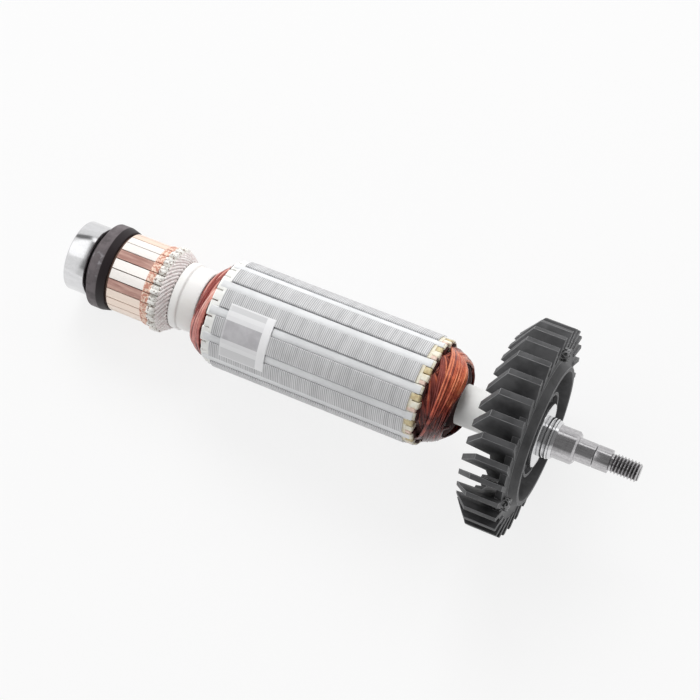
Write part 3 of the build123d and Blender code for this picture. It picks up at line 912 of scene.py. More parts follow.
@dataclass
class Studio:
    """Camera, table, lamp and room.

    Stations, distances and rise are in millimetres, angles in degrees, and the table and the lamp
    in metres and watts. Each pair from left_side on says where the room's level starts and ends
    changing, as a part of a direction of length 1.
    """

    station: float = 232.024
    away: float = 533.391
    facing: float = -12.8
    aim_station: float = 90.438
    aim_rise: float = 2.707
    roll: float = 21.387
    focal_pixels: float = 1870.622
    picture_pixels: float = 700.0
    sensor: float = 36.0
    clip: Point = (0.01, 20.0)
    table_size: float = 6.0
    table_colour: Colour = (0.90, 0.90, 0.90)
    seen_white: float = 0.8
    key_place: Point3 = (-0.4, 0.8, 0.85)
    key_size: Point = (0.6, 0.6)
    key_power: float = 7.5
    left_side: Point = (-0.4, -0.36)
    left_level: float = 0.92
    right_level: float = 0.8
    right_slope: float = 0.12
    ceiling: Point = (0.4, 0.62)
    ceiling_level: float = 0.22
    streak_start: Point = (0.58, 0.66)
    streak_end: Point = (0.76, 0.84)
    streak_foot: Point = (0.3, 0.4)
    streak_level: float = 1.5
    box_side: Point = (-0.4, -0.34)
    box_foot: Point = (0.66, 0.7)
    box_gain: float = 0.5
    band_side: Point = (0.45, 0.55)
    band_foot: Point = (0.42, 0.47)
    band_top: Point = (0.62, 0.66)
    band_loss: float = 0.75
    horizon: Point = (0.1, 0.16)

    def camera(self) -> None:
        """Makes the camera, placed by the shaft's line and turned to the photograph's roll."""
        eye = LINE.at(self.station, self.away, self.facing)
        sideways = LINE.at(0, 1, self.facing + 90) - LINE.rear
        aim = LINE.at(self.aim_station, 0, 0) + sideways * self.aim_rise
        forward = (aim - eye).normalized()
        level = forward.cross(sideways.normalized()).normalized()
        above = level.cross(forward)
        turn = math.radians(self.roll)
        right = level * math.cos(turn) + above * math.sin(turn)
        up = right.cross(forward)
        data = bpy.data.cameras.new("camera")
        data.sensor_width = self.sensor
        data.lens = self.sensor * self.focal_pixels / self.picture_pixels
        data.clip_start, data.clip_end = self.clip
        camera = bpy.data.objects.new("camera", data)
        camera.matrix_world = Matrix((
            (right.x, up.x, -forward.x, eye.x), (right.y, up.y, -forward.y, eye.y),
            (right.z, up.z, -forward.z, eye.z), (0.0, 0.0, 0.0, 1.0)))
        bpy.context.scene.collection.objects.link(camera)
        bpy.context.scene.camera = camera

    def table(self) -> None:
        """Makes the white table, which keeps the part's soft shadow."""
        half = self.table_size / 2
        mesh = bpy.data.meshes.new("table")
        mesh.from_pydata([(-half, -half, 0), (half, -half, 0), (half, half, 0), (-half, half, 0)],
                         [], [(0, 1, 2, 3)])
        p = Painter("table")
        p.finish(Base_Color=self.table_colour, Roughness=0.9, Specular_IOR_Level=0.0)
        white = p.node("ShaderNodeEmission", {}, {"Color": (1.0, 1.0, 1.0), "Strength": 1.0})
        path = p.node("ShaderNodeLightPath", {}, {})
        seen = (Signal(p, path.outputs["Is Camera Ray"]) + path.outputs["Is Glossy Ray"]
                + path.outputs["Is Transmission Ray"]) * self.seen_white
        blend = p.node("ShaderNodeMixShader", {}, {
            0: seen, 1: p.shader.outputs[0], 2: white.outputs[0]})
        p.link(p.tree.nodes["Material Output"].inputs["Surface"], blend.outputs[0])
        mesh.materials.append(p.material)
        table = bpy.data.objects.new("table", mesh)
        bpy.context.scene.collection.objects.link(table)

    def lamp(self, name: str, place: Point3, size: Point, power: float) -> None:
        """Adds a soft box that faces the part and stays out of its reflections.

        Args:
            name: its name.
            place: its place in metres.
            size: its width and height in metres.
            power: its power in watts.
        """
        data = bpy.data.lights.new(name, "AREA")
        data.shape = "RECTANGLE"
        data.size, data.size_y = size
        data.energy = power
        lamp = bpy.data.objects.new(name, data)
        lamp.location = place
        lamp.rotation_euler = (-Vector(place)).to_track_quat("-Z", "Y").to_euler()
        lamp.visible_glossy = False
        bpy.context.scene.collection.objects.link(lamp)

    def surroundings(self) -> None:
        """Makes the room, whose level varies with direction.

        Its horizon is white. It has a dark ceiling with a bright streak on the right, and a bright
        box and a dark band on the left.
        """
        world = bpy.data.worlds.new("room")
        bpy.context.scene.world = world
        world.use_nodes = True
        world.node_tree.nodes.clear()
        p = Painter.of_tree(world.node_tree)
        direction = p.node("ShaderNodeTexCoord", {}, {}).outputs["Generated"]
        split = p.node("ShaderNodeSeparateXYZ", {}, {0: direction})
        x, y, z = (Signal(p, split.outputs[axis]) for axis in "XYZ")
        leftward = 1 - x.fade(*self.left_side)
        ceiling = z.fade(*self.ceiling)
        streak = (y.fade(*self.streak_start) * (1 - y.fade(*self.streak_end))
                  * z.fade(*self.streak_foot))
        right = (self.right_level + self.right_slope * y) * (1 - ceiling) + self.ceiling_level * ceiling
        right = right.most(self.streak_level * streak)
        box = y.fade(*self.box_side) * z.fade(*self.box_foot)
        band = y.fade(*self.band_side) * z.fade(*self.band_foot) * (1 - z.fade(*self.band_top))
        left = self.left_level + self.box_gain * box - self.band_loss * band
        level = right * (1 - leftward) + left * leftward
        above = abs(z).fade(*self.horizon)
        level = 1 - above + level * above
        room = p.node("ShaderNodeBackground", {}, {"Color": (1.0, 1.0, 1.0), "Strength": level})
        out = p.node("ShaderNodeOutputWorld", {}, {})
        p.link(out.inputs["Surface"], room.outputs[0])

    def build(self) -> None:
        """Sets up the whole studio."""
        self.camera()
        self.table()
        self.surroundings()
        self.lamp("key", self.key_place, self.key_size, self.key_power)
        bpy.context.scene.view_settings.view_transform = "Standard"


@dataclass
class Bearing:
    """The rear ball bearing."""

    edge: float = 0.45
    running_gap: float = 0.06
    groove_steps: int = 10

    def groove(self, wall: float) -> list[Point]:
        """Gives a race's groove.

        Args:
            wall: the radius of the wall that the groove is cut in.

        Returns:
            The groove's arc as (station, radius) points, from its front end to its rear end.
        """
        balls, races = Extent.of("bearing_balls"), Extent.of("bearing_outer_race")
        middle = (races.start + races.end) / 2
        size = (balls.end - balls.start) / 2 + self.running_gap
        circle = (balls.inner + balls.outer) / 2
        low = math.asin((wall - circle) / size)
        turn = math.pi - 2 * low if low > 0 else -math.pi - 2 * low
        ways = [low + turn * k / self.groove_steps for k in range(self.groove_steps + 1)]
        return [(middle + size * math.cos(way), circle + size * math.sin(way)) for way in ways]

    def build(self, steel: bpy.types.Material, shield: bpy.types.Material) -> None:
        """Makes the races, and dresses what is between them.

        Args:
            steel: the races' finish.
            shield: the shields' and cage's finish.
        """
        size = Extent.of("bearing_outer_race")
        outer = Shape()
        outer.turned(rounded([
            (size.start, size.inner), (size.start, size.outer), (size.end, size.outer),
            (size.end, size.inner), *self.groove(size.inner)], self.edge))
        outer.build("outer_race_ground", Body.OUTER_RACE, [steel], "bearing_steel",
                    ["bearing_outer_race"])
        size = Extent.of("bearing_inner_race")
        inner = Shape()
        inner.turned(rounded([
            (size.start, size.inner), (size.start, size.outer),
            *reversed(self.groove(size.outer)), (size.end, size.outer),
            (size.end, size.inner)], self.edge / 2))
        inner.build("inner_race_ground", Body.ROTOR, [steel], "bearing_steel",
                    ["bearing_inner_race"])
        dress("bearing_balls", steel)
        for node in ("bearing_cage", "bearing_shield_rear", "bearing_shield_front"):
            dress(node, shield)


def dress(node: str, finish: bpy.types.Material) -> None:
    """Gives a CAD node a finish."""
    mesh = frame["nodes"][node].data
    mesh.materials.clear()
    mesh.materials.append(finish)


@dataclass
class InsulatingWasher:
    """The dark washer between bearing and commutator."""

    nose: Point = (0.6, 5.7)
    boss: Point = (1.7, 10.4)
    taper: Point = (2.5, 12.65)
    edge: float = 0.3
    size: Extent = field(default_factory=lambda: Extent.of("insulating_washer"))

    @property
    def taper_start(self) -> float:
        """The station where the rim ends and the taper starts."""
        return self.size.end - self.taper[0]

    def build(self, finish: bpy.types.Material) -> None:
        """Makes the washer."""
        size = self.size
        s1 = size.start + self.nose[0]
        s2 = s1 + self.boss[0]
        outline = [(size.start, size.inner), (size.start, self.nose[1]), (s1, self.nose[1]),
                   (s1, self.boss[1]), (s2, self.boss[1]), (s2, size.outer),
                   (self.taper_start, size.outer), (size.end, self.taper[1]),
                   (size.end, size.inner)]
        shape = Shape()
        shape.turned(rounded(outline, self.edge, 4), 160)
        shape.build("washer_moulded", Body.ROTOR, [finish], "washer_moulding",
                    ["insulating_washer"], 9)


@dataclass
class Commutator:
    """Copper bars with their risers and hooks."""

    radius: float = 12.35
    riser_length: float = 2.5
    riser_height: float = 0.35
    hook_length: float = 3.4
    hook_width: float = 2.3
    hook_height: float = 1.1
    hook_sunk: float = 0.6
    lump_shift: Point = (0.8, 1.1)
    lump_width: Point = (0.55, 0.75)
    lump_height: Point = (0.6, 1.1)
    lump_back: Point = (0.0, 0.8)
    lump_front: Point = (0.0, 0.7)
    gap: float = 0.3
    edge: float = 0.12
    size: Extent = field(default_factory=lambda: Extent.of("commutator_bars"))

    @property
    def hooks(self) -> float:
        """The station where the hooks start."""
        return self.size.end - self.hook_length

    @property
    def riser(self) -> float:
        """The station where the risers start."""
        return self.hooks - self.riser_length

    def build(self, copper: bpy.types.Material, moulding: bpy.types.Material) -> None:
        """Makes the bars, and dresses the moulding.

        Args:
            copper: the bars' finish.
            moulding: the finish of what holds them.
        """
        pitch = 360 / BAR_COUNT
        half = pitch / 2 - math.degrees(self.gap / 2 / self.radius)
        high, root = self.radius + self.riser_height, self.size.inner
        outline = rounded([
            (self.size.start, root), (self.size.start, self.radius), (self.riser, self.radius),
            (self.riser + 0.3, high), (self.hooks, high), (self.hooks, self.radius),
            (self.size.end, self.radius - 0.2), (self.size.end, root)], self.edge, 2)
        shape = Shape()
        rng = random.Random(SEED)
        hook_half = math.degrees(self.hook_width / 2 / self.radius)
        for number in range(BAR_COUNT):
            middle = BAR_PHASE + (number + 0.5) * pitch
            shape.turned(outline, 5, middle - half, middle + half)
            for side in (-0.5, 0.5):
                centre = middle + side * hook_half * rng.uniform(*self.lump_shift)
                width = hook_half * rng.uniform(*self.lump_width)
                height = self.hook_height * rng.uniform(*self.lump_height)
                start = self.hooks - rng.uniform(*self.lump_back)
                end = self.size.end - rng.uniform(*self.lump_front)
                shape.pad((start, end), (centre - width, centre + width),
                          (self.radius - self.hook_sunk, self.radius + height), (0.3, 0.3), (12, 8))
        shape.build("commutator_bars_turned", Body.ROTOR, [copper], "commutator_copper",
                    ["commutator_bars"])
        for node in ("commutator_moulding", "commutator_mica", "commutator_bush"):
            dress(node, moulding)


@dataclass
class Leads:
    """Wires that slant from the hooks down to the wrap, and the wrap itself."""

    band_length: float = 2.4
    top: float = 12.3
    foot: float = 10.3
    wire: float = 0.5
    skew: float = 22.0
    per_bar: int = 2
    tuck: float = 0.6
    steps: int = 8
    sag: float = 1.2

    def build(self, wire: bpy.types.Material, wrap: bpy.types.Material,
              sleeve: bpy.types.Material) -> None:
        """Makes the wires and the wrap.

        Args:
            wire: the leads' finish.
            wrap: the wrap's finish.
            sleeve: the sleeves' finish.
        """
        size, span = Extent.of("lead_wrap"), Extent.of("lead_wires")
        shape = Shape()
        count = self.per_bar * BAR_COUNT
        for number in range(count):
            start = BAR_PHASE + (number + 0.5) * 360 / count
            path = []
            for step in range(self.steps + 1):
                t = step / self.steps
                station = span.start - self.tuck + (span.end + self.tuck / 2 - span.start) * t
                radius = self.top + (self.foot - self.top) * t ** self.sag
                path.append(LINE.at(station, radius, start + self.skew * t))
            shape.tube(path, self.wire, 8)
        shape.build("leads_slanting", Body.ROTOR, [wire], "tinned_wire", ["lead_wires"], 60)
        wrap_start = span.end + self.band_length
        band, cover = size.outer_at(span.end), size.profile[-1][1]
        outline = [(size.start, size.inner), (size.start, self.top - 1.0),
                   (span.end, self.foot - 0.6), (span.end, band), (wrap_start, band),
                   (wrap_start + 0.4, cover), (size.end, cover), (size.end, size.inner)]
        tape = Shape()
        tape.turned(rounded(outline, 0.6, 3))
        tape.build("lead_wrap_varnished", Body.ROTOR, [wrap], "varnished_wrap", ["lead_wrap"])
        for node in ("shaft_sleeve_rear", "shaft_sleeve_front"):
            dress(node, sleeve)


@dataclass
class Core:
    """The laminated core, its wedges and its bare label."""

    opening: float = 2.87
    tip: float = 1.3
    stem: float = 3.4
    shoulder: float = 0.7
    slot_root: float = 8.4
    edge: float = 0.25
    tooth_steps: int = 9
    label: Point = (3.4, 18.0)
    label_angles: Point = (-62.0, -3.0)
    label_thickness: float = 0.1
    size: Extent = field(default_factory=lambda: Extent.of("core"))

    def tooth_outline(self) -> list[Point]:
        """Gives the core's outline, as (radius, angle) points.

        Returns:
            Round arcs over the teeth and the slots between them.
        """
        radius = self.size.outer
        half_pitch = math.radians(SLOT_PITCH / 2)
        lip = radius - self.tip
        belly = lip - self.shoulder
        walls = [(radius - self.edge, self.opening / 2), (lip, self.opening / 2),
                 (belly, belly * math.sin(half_pitch) - self.stem / 2),
                 (self.slot_root, self.slot_root * math.sin(half_pitch) - self.stem / 2)]
        corners = [(math.hypot(x, y), math.degrees(math.atan2(y, x))) for x, y in walls]
        mouth = math.degrees(self.opening / 2 / radius)
        broken = math.degrees(self.edge / radius)
        out: list[Point] = []
        for middle in SLOT_ANGLES:
            out.extend((r, middle - a) for r, a in corners)
            out.extend((r, middle + a) for r, a in reversed(corners))
            first = middle + mouth + broken
            last = middle + SLOT_PITCH - mouth - broken
            out.extend((radius, first + (last - first) * k / self.tooth_steps)
                       for k in range(self.tooth_steps + 1))
        return out

    def wedge_outline(self, middle: float) -> list[Point]:
        """Gives a wedge's section, whose one edge rolls down beside the tooth.

        Args:
            middle: the slot's middle angle.

        Returns:
            The outline as (radius, angle) points.
        """
        size = Extent.of("slot_wedges")
        half = math.degrees(self.opening / 2 / self.size.outer)
        foot, top = self.size.outer - self.tip, size.outer - 0.02
        points = [(foot, -half), (top - 0.12, -half + 0.05), (top, -half + 0.5),
                  (top + 0.03, 0.0), (top - 0.05, half - 1.5), (top - 0.35, half - 0.75),
                  (top - 0.5, half - 0.05), (foot, half)]
        return [(radius, middle + angle) for radius, angle in points]

    def build(self, steel: bpy.types.Material, wedge: bpy.types.Material,
              label: bpy.types.Material, plates: Sequence[bpy.types.Material]) -> None:
        """Makes the stack, the wedges and the label, and dresses the end plates.

        Args:
            steel: the stack's finish.
            wedge: the wedges' finish.
            label: the label's finish.
            plates: the finishes of the rear and front end plates.
        """
        stack = Shape()
        stack.drawn(self.tooth_outline(), self.size.start, self.size.end)
        stack.build("core_stack", Body.ROTOR, [steel], "lamination_steel", ["core"], 24)
        span = Extent.of("slot_wedges")
        strips = Shape()
        for middle in SLOT_ANGLES:
            strips.drawn(self.wedge_outline(middle), span.start, span.end)
        strips.build("wedges_pale", Body.ROTOR, [wedge], "wedge_paper", ["slot_wedges"], 50)
        first, last = self.label
        radius = self.size.outer
        sheet = Shape()
        sheet.pad((self.size.start + first, self.size.start + last), self.label_angles,
                  (radius - 0.02, radius + self.label_thickness), (0.012, 0.012), (24, 64))
        sheet.build("label_bare", Body.ROTOR, [label], "wedge_paper")
        dress("rear_end_plate", plates[0])
        dress("front_end_plate", plates[1])


@dataclass(frozen=True)
class CuffRing:
    """The papers at one end of the core; each fold is (offset, width, share of length, finish)."""

    face: float
    outward: float
    length: float
    folds: tuple[tuple[float, float, float, int], ...]


@dataclass
class Cuffs:
    """Folded paper ends that stand out of the core round the winding's foot."""

    rings: tuple[CuffRing, ...]
    foot: float = 12.6
    top: float = 16.3
    sunk: float = 0.1
    reach: Point = (0.93, 1.05)
    lift: Point = (-0.15, 0.1)

    def build(self, finishes: Sequence[bpy.types.Material]) -> None:
        """Makes the rings of cuffs.

        Args:
            finishes: the papers' finishes.
        """
        shape = Shape()
        rng = random.Random(SEED)
        for ring_of in self.rings:
            for middle in SLOT_ANGLES:
                for offset, width, share, slot in ring_of.folds:
                    reach = ring_of.length * share * rng.uniform(*self.reach)
                    lift = rng.uniform(*self.lift)
                    ends = sorted((ring_of.face - ring_of.outward * self.sunk,
                                   ring_of.face + ring_of.outward * reach))
                    shape.pad((ends[0], ends[1]),
                              (middle + offset - width / 2, middle + offset + width / 2),
                              (self.foot, self.top + lift), (0.06, 0.05), (8, 8), slot)
        shape.build("cuffs_folded", Body.ROTOR, finishes, "slot_paper", ["slot_liners"])


@dataclass
class WindingHead:
    """One end of the winding: bundles of wire that cross from slot to slot."""

    name: str
    node: str
    face: float
    outward: float
    last_coil: float
    progress: float
    near: Point
    far: Point
    strands: int = 26
    wire: float = 0.33
    stub: float = 1.0
    foot_radius: float = 14.3
    layer_depth: float = 0.6
    half_span: float = 75.0
    bulge: float = 0.55
    lean: float = 0.0
    stray: Point3 = (1.6, 0.15, 0.5)
    steps: int = 24
    sides: int = 6
    layers: int = 6
    loose: float = 0.6
    deep_share: float = 0.6
    tip: tuple[Point3, ...] = ()
    tip_wires: int = 14
    tip_spread: Point = (0.25, 7.0)
    inside_short: float = 0.8
    inside_cover: float = 3.2
    inside_steps: int = 12

    def strand(self, dome: Extent, centre: float, across: float, reach: float, depth: float,
               stray: Point3) -> list[Vector]:
        """Lays one wire from its slot over to the other.

        Args:
            dome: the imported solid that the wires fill.
            centre: the coil's middle angle.
            across: its place in the bundle, from 0 beside the core to 1.
            reach: how far from the core's face it runs in its middle.
            depth: how deep under the dome it runs there.
            stray: how it strays in angle, in station and in phase.

        Returns:
            The wire's path in metres.
        """
        path = []
        outer = dome.outer_at(self.face + self.outward * reach) - depth - self.wire
        for step in range(self.steps + 1):
            t = step / self.steps
            spread = math.sin(math.pi * t) ** self.bulge
            wave = math.sin(2 * math.pi * (1.5 * t + stray[2]))
            out = self.stub + (reach - self.stub + stray[1] * wave) * spread
            radius = self.foot_radius + (outer - self.foot_radius) * spread
            angle = centre + self.half_span * (2 * t - 1) + (stray[0] + self.lean * across) * spread
            path.append(LINE.at(self.face + self.outward * out, radius, angle))
        return path

    def add_tip(self, shape: Shape) -> None:
        """Adds the wires that close up into one point as they leave the head.

        Args:
            shape: the head's shape.
        """
        count, (rise, turn) = len(self.tip), self.tip_spread
        for number in range(self.tip_wires):
            lift = (number / (self.tip_wires - 1) - 0.5) * 2
            path = [LINE.at(s, r + rise * lift * (1 - k / count),
                            a + turn * lift * (1 - k / (count - 1)))
                    for k, (s, r, a) in enumerate(self.tip)]
            shape.tube(path, self.wire, self.sides)

    def build(self, wires: Sequence[bpy.types.Material], core: bpy.types.Material) -> None:
        """Makes the bundles and what fills them.

        Args:
            wires: the strands' finishes, from dark to bright; strands of the layers under the last coil
                mostly get the darkest one, as painted shade.
            core: the finish of the wires deep inside, near black as painted shade.
        """
        dome = Extent.of(self.node)
        rng = random.Random(SEED)
        shape = Shape()
        last = self.layers - 1
        for order in range(self.layers):
            layer, under = order / last, last - order
            near = self.near[0] + (self.near[1] - self.near[0]) * layer
            far = self.far[0] + (self.far[1] - self.far[0]) * layer
            for half in (0, 180):
                centre = self.last_coil + self.progress * under * SLOT_PITCH + half
                for number in range(self.strands):
                    across = (number + rng.uniform(0.0, self.loose)) / self.strands
                    depth = under * self.layer_depth + rng.uniform(0.0, 1.0) * self.stray[2]
                    stray = (rng.gauss(0, self.stray[0]), rng.gauss(0, self.stray[1]), rng.random())
                    # Painted shade: strands of the layers under the last coil mostly take the first,
                    # darkest finish.
                    deep = under > 0 and rng.random() < self.deep_share
                    tone = 0 if deep else rng.randrange(len(wires))
                    shape.tube(self.strand(dome, centre, across, near + (far - near) * across,
                                           depth, stray), self.wire, self.sides, tone)
        if self.tip:
            self.add_tip(shape)
        shape.build(self.name, Body.ROTOR, wires, "enamelled_wire", [self.node], 70)
        length = self.far[1] - self.inside_short
        outline = []
        for k in range(self.inside_steps + 1):
            t = k / self.inside_steps
            station = self.face + self.outward * (self.stub + (length - self.stub) * t)
            high = dome.outer_at(station) - self.layer_depth * self.inside_cover
            outline.append((station, dome.inner + (high - dome.inner) * (1 - t ** 5) ** 0.5))
        inner = Shape()
        inner.turned([(outline[0][0], dome.inner), *outline])
        inner.build(self.name + "_inside", Body.ROTOR, [core], "enamelled_wire")


@dataclass
class Fan:
    """The moulded fan and the torn stubs of its gates."""

    edge: float = 0.3
    gate_radius: float = 26.0
    gate_angle: float = 51.0
    gate_size: float = 2.2
    gate_count: int = 3
    gate_sides: int = 18
    gate_rings: tuple[float, ...] = (1.0, 0.94, 0.62, 0.3, 0.02)
    sunk: float = 0.6
    below_end: float = 0.4
    rough: float = 0.3
    ragged: float = 0.06

    def build(self, nylon: bpy.types.Material, edge_highlight: bpy.types.Material,
              torn: bpy.types.Material) -> None:
        """Makes the fan and its gates.

        Args:
            nylon: the fan's finish.
            edge_highlight: the finish of its broken edges, paler than the nylon as a painted highlight.
            torn: the gates' finish.
        """
        # The broken edges get the paler finish: a painted highlight along the edges.
        refined("fan", "fan_moulded", Body.ROTOR, (nylon, edge_highlight), self.edge)
        size, washer = Extent.of("fan"), Extent.of("fan_washer")
        foot, top = washer.start - self.sunk, size.end - self.below_end
        rng = random.Random(SEED)
        shape = Shape()
        for number in range(self.gate_count):
            turn = self.gate_angle + number * 360 / self.gate_count
            loops = []
            for order, share in enumerate(self.gate_rings):
                loop = []
                for k in range(self.gate_sides):
                    way = 2 * math.pi * k / self.gate_sides
                    reach = self.gate_size * share * (1 + rng.uniform(-self.ragged, self.ragged))
                    out = self.gate_radius + reach * math.cos(way)
                    across = reach * math.sin(way)
                    height = top - rng.random() * self.rough if order else foot
                    loop.append(LINE.at(height, math.hypot(out, across),
                                        turn + math.degrees(math.atan2(across, out))))
                loops.append(loop)
            shape.grid(loops, False, True, True)
        shape.build("fan_gates_torn", Body.ROTOR, [torn], "fan_plastic")


@dataclass
class DriveEnd:
    """Shaft, steel washer and collar, with the thread cut."""

    journal: float = 4.0
    seat: float = 5.0
    seat_length: float = 6.3
    chamfer: float = 0.7
    pinion: float = 3.5
    groove_from_seat: float = 5.2
    groove_half: float = 0.25
    groove_depth: float = 0.2
    thread: float = 3.0
    thread_length: float = 8.1
    thread_sides: int = 48
    rows_a_turn: int = 12
    tip_chamfer: float = 0.7
    undercut: float = 0.8
    pitch: float = 1.0
    depth: float = 0.66
    root_share: float = 0.7
    washer_edge: float = 0.4
    collar_cuts: tuple[Point, ...] = (
        (0.0, 0.0), (1.6, 0.0), (1.7, 0.25), (2.0, 0.25), (2.1, 0.0), (2.6, 0.0), (2.7, 0.25),
        (3.0, 0.25), (3.1, 0.2), (3.7, 0.5), (4.0, 0.6))
    size: Extent = field(default_factory=lambda: Extent.of("shaft"))

    @property
    def thread_start(self) -> float:
        """The station where the thread starts."""
        return self.size.end - self.thread_length

    def shaft_outline(self) -> list[Point]:
        """Gives the shaft's half section up to the thread."""
        size, thread_start = self.size, self.thread_start
        body_start, body_end = Extent.of("bearing_inner_race").end, Extent.of("spacer_collar").end
        seat_end = body_end + self.seat_length
        line = seat_end + self.groove_from_seat
        root = self.thread - self.depth * self.root_share
        return [(0.0, 0.0), (0.0, self.journal - 0.5), (0.5, self.journal),
                (body_start, self.journal), (body_start, size.outer), (body_end, size.outer),
                (body_end, self.seat), (seat_end - self.chamfer, self.seat),
                (seat_end, self.seat - self.chamfer), (seat_end, self.pinion),
                (line - self.groove_half, self.pinion), (line, self.pinion - self.groove_depth),
                (line + self.groove_half, self.pinion), (thread_start - self.undercut, self.pinion),
                (thread_start - self.undercut + 0.2, root), (thread_start, root),
                (thread_start, 0.0)]

    def build(self, steel: bpy.types.Material, bright: bpy.types.Material) -> None:
        """Makes the shaft, its thread, the washer and the collar.

        Args:
            steel: the shaft's finish.
            bright: the washer's and collar's finish.
        """
        shape = Shape()
        shape.turned(rounded(self.shaft_outline(), 0.12, 2), 96)
        self.cut_thread(shape, self.thread_start, self.size.end)
        shape.build("shaft_turned", Body.ROTOR, [steel], "shaft_steel", ["shaft"])
        disc = Extent.of("fan_washer")
        washer = Shape()
        washer.turned(rounded([(disc.start, disc.inner), (disc.start, disc.outer),
                               (disc.end, disc.outer), (disc.end, disc.inner)], self.washer_edge))
        washer.build("washer_steel", Body.ROTOR, [bright], "shaft_steel", ["fan_washer"])
        ends = Extent.of("spacer_collar")
        surface = [(ends.start + s, ends.outer - cut) for s, cut in self.collar_cuts]
        collar = Shape()
        collar.turned(rounded([(ends.start, ends.inner), *surface, (ends.end, ends.inner)], 0.08, 2))
        collar.build("collar_turned", Body.ROTOR, [bright], "shaft_steel", ["spacer_collar"])

    def cut_thread(self, shape: Shape, start: float, end: float) -> None:
        """Adds the threaded end, whose ridge climbs one pitch each turn.

        Args:
            shape: the shaft's shape.
            start: the station where the thread starts.
            end: the shaft's end.
        """
        rows = []
        count = int((end - start) / self.pitch * self.rows_a_turn)
        for i in range(count + 1):
            s = start + (end - start) * i / count
            taper = max(0.0, s - end + self.tip_chamfer)
            row = []
            for j in range(self.thread_sides):
                way = j / self.thread_sides
                phase = (s / self.pitch - way) % 1.0
                ridge = 1 - abs(2 * phase - 1)
                cut = self.depth * min(1.0, max(0.0, 1.2 * ridge - 0.1))
                row.append(LINE.at(s, self.thread - max(cut, taper), 360 * way))
            rows.append(row)
        shape.grid(rows, False, True, True)


FRONT_WIRES = (
    EnamelledWire("wire_maroon", (0.42, 0.09, 0.06), (0.17, 0.028, 0.022), (0.05, 0.009, 0.009)),
    EnamelledWire("wire_red", (0.85, 0.20, 0.08), (0.36, 0.055, 0.035), (0.08, 0.014, 0.013)),
    EnamelledWire("wire_orange", (0.98, 0.34, 0.16), (0.55, 0.10, 0.055), (0.12, 0.02, 0.017)))
REAR_WIRES = (
    EnamelledWire("wire_wine", (0.40, 0.08, 0.06), (0.26, 0.04, 0.035), (0.12, 0.02, 0.02)),
    EnamelledWire("wire_salmon", (0.92, 0.46, 0.38), (0.72, 0.26, 0.21), (0.40, 0.10, 0.09)),
    EnamelledWire("wire_pink", (0.97, 0.66, 0.58), (0.86, 0.42, 0.36), (0.55, 0.18, 0.16)))


def build_winding(core: Core) -> None:
    """Makes the two winding heads, and dresses the coil sides.

    Args:
        core: the core, whose ends the heads stand on.
    """
    # Near-black finish for the wires inside the heads and in the slots: painted shade.
    deep = PlainFinish("wire_deep_painted_shade", (0.07, 0.014, 0.012), (0.03, 0.007, 0.006), 0.85).material()
    front, rear = ([wire.material() for wire in wires] for wires in (FRONT_WIRES, REAR_WIRES))
    end = core.size.end
    WindingHead("winding_front", "front_winding_head", end, 1.0, -14.0, -1.0,
                (3.6, 7.4), (8.4, 12.5), strands=32, half_span=86.0, lean=24.0, bulge=0.6,
                tip=((end + 3.0, 14.6, -93.0), (end + 6.0, 13.9, -80.0), (end + 9.5, 12.2, -66.0),
                     (end + 12.4, 10.6, -57.0))).build(front, deep)
    WindingHead("winding_rear", "rear_winding_head", core.size.start, -1.0, -50.0, 1.0,
                (3.6, 4.4), (6.8, 8.5), strands=13, wire=0.42, lean=-14.0,
                stray=(2.4, 0.12, 0.6)).build(rear, deep)
    dress("coil_sides", deep)


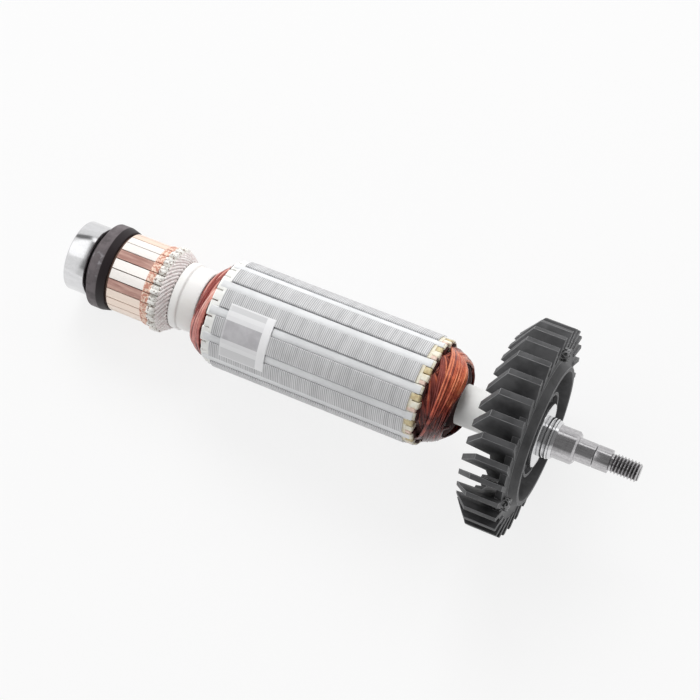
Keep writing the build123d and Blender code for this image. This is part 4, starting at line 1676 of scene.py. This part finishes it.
def main() -> None:
    """Makes everything in order."""
    Studio().build()
    drive = DriveEnd()
    steel = TurnedSteel("shaft_steel", thread_start=drive.thread_start).material()
    bright = TurnedSteel("bearing_steel", (0.74, 0.74, 0.75), (0.69, 0.69, 0.70), 0.14,
                         spotted=0.04).material()
    shield = TurnedSteel("shield_steel", (0.55, 0.55, 0.55), (0.42, 0.42, 0.42), 0.4).material()
    Bearing().build(bright, shield)
    washer = InsulatingWasher()
    washer.build(WasherMoulding("washer_moulding", washer.taper_start).material())
    commutator = Commutator()
    commutator.build(
        CommutatorCopper("commutator_copper", commutator.riser, commutator.hooks).material(),
        PlainFinish("commutator_moulding", (0.16, 0.09, 0.07), (0.26, 0.17, 0.13)).material())
    Leads().build(
        PlainFinish("lead_varnish", (0.97, 0.94, 0.92), (0.80, 0.71, 0.70), 0.4, 1.0).material(),
        PlainFinish("wrap_varnish", (0.97, 0.965, 0.95), (0.94, 0.93, 0.90), 0.35, 6.0,
                    coat=0.3).material(),
        PlainFinish("sleeve_white", (0.97, 0.97, 0.95), (0.93, 0.93, 0.91), 0.4).material())
    cream = PlainFinish("paper_cream", (0.95, 0.92, 0.80), (0.88, 0.80, 0.62), 0.6, 1.6).material()
    ochre = PlainFinish("paper_ochre", (0.78, 0.68, 0.42), (0.62, 0.48, 0.26), 0.6, 1.2).material()
    pink = PlainFinish("paper_pink", (0.93, 0.78, 0.68), (0.85, 0.62, 0.52), 0.6, 1.2).material()
    white = PlainFinish("paper_white", (0.96, 0.96, 0.93), (0.90, 0.90, 0.87), 0.6, 2.5).material()
    core = Core()
    core.build(
        LaminatedSteel("lamination_steel").material(),
        PlainFinish("wedge_pale", (0.86, 0.87, 0.88), (0.78, 0.79, 0.80), 0.38, 7.0).material(),
        BareLabel("label_blank", (core.size.start + core.label[0], core.size.start + core.label[1]),
                  core.label_angles).material(),
        (white, cream))
    Cuffs((
        CuffRing(core.size.end, 1.0, 3.4, (
            (0.0, 9.4, 1.0, 0), (-8.9, 7.2, 0.94, 1), (-16.9, 7.4, 1.0, 0), (7.4, 4.2, 0.9, 2))),
        CuffRing(core.size.start, -1.0, 3.4, (
            (0.6, 17.6, 1.0, 3), (15.3, 11.2, 0.92, 3))))).build([cream, ochre, pink, white])
    build_winding(core)
    Fan().build(
        PlainFinish("fan_nylon", (0.045, 0.045, 0.047), (0.085, 0.085, 0.088), 0.52, 6.0).material(),
        # Paler finish for the fan's broken edges: a painted highlight.
        PlainFinish("fan_edge_highlight", (0.25, 0.25, 0.255), (0.14, 0.14, 0.145), 0.5, 3.0).material(),
        TornPlastic("fan_torn").material())
    drive.build(steel, bright)


if __name__ == "__main__":
    logging.basicConfig(level=logging.INFO, format="%(message)s")
    main()
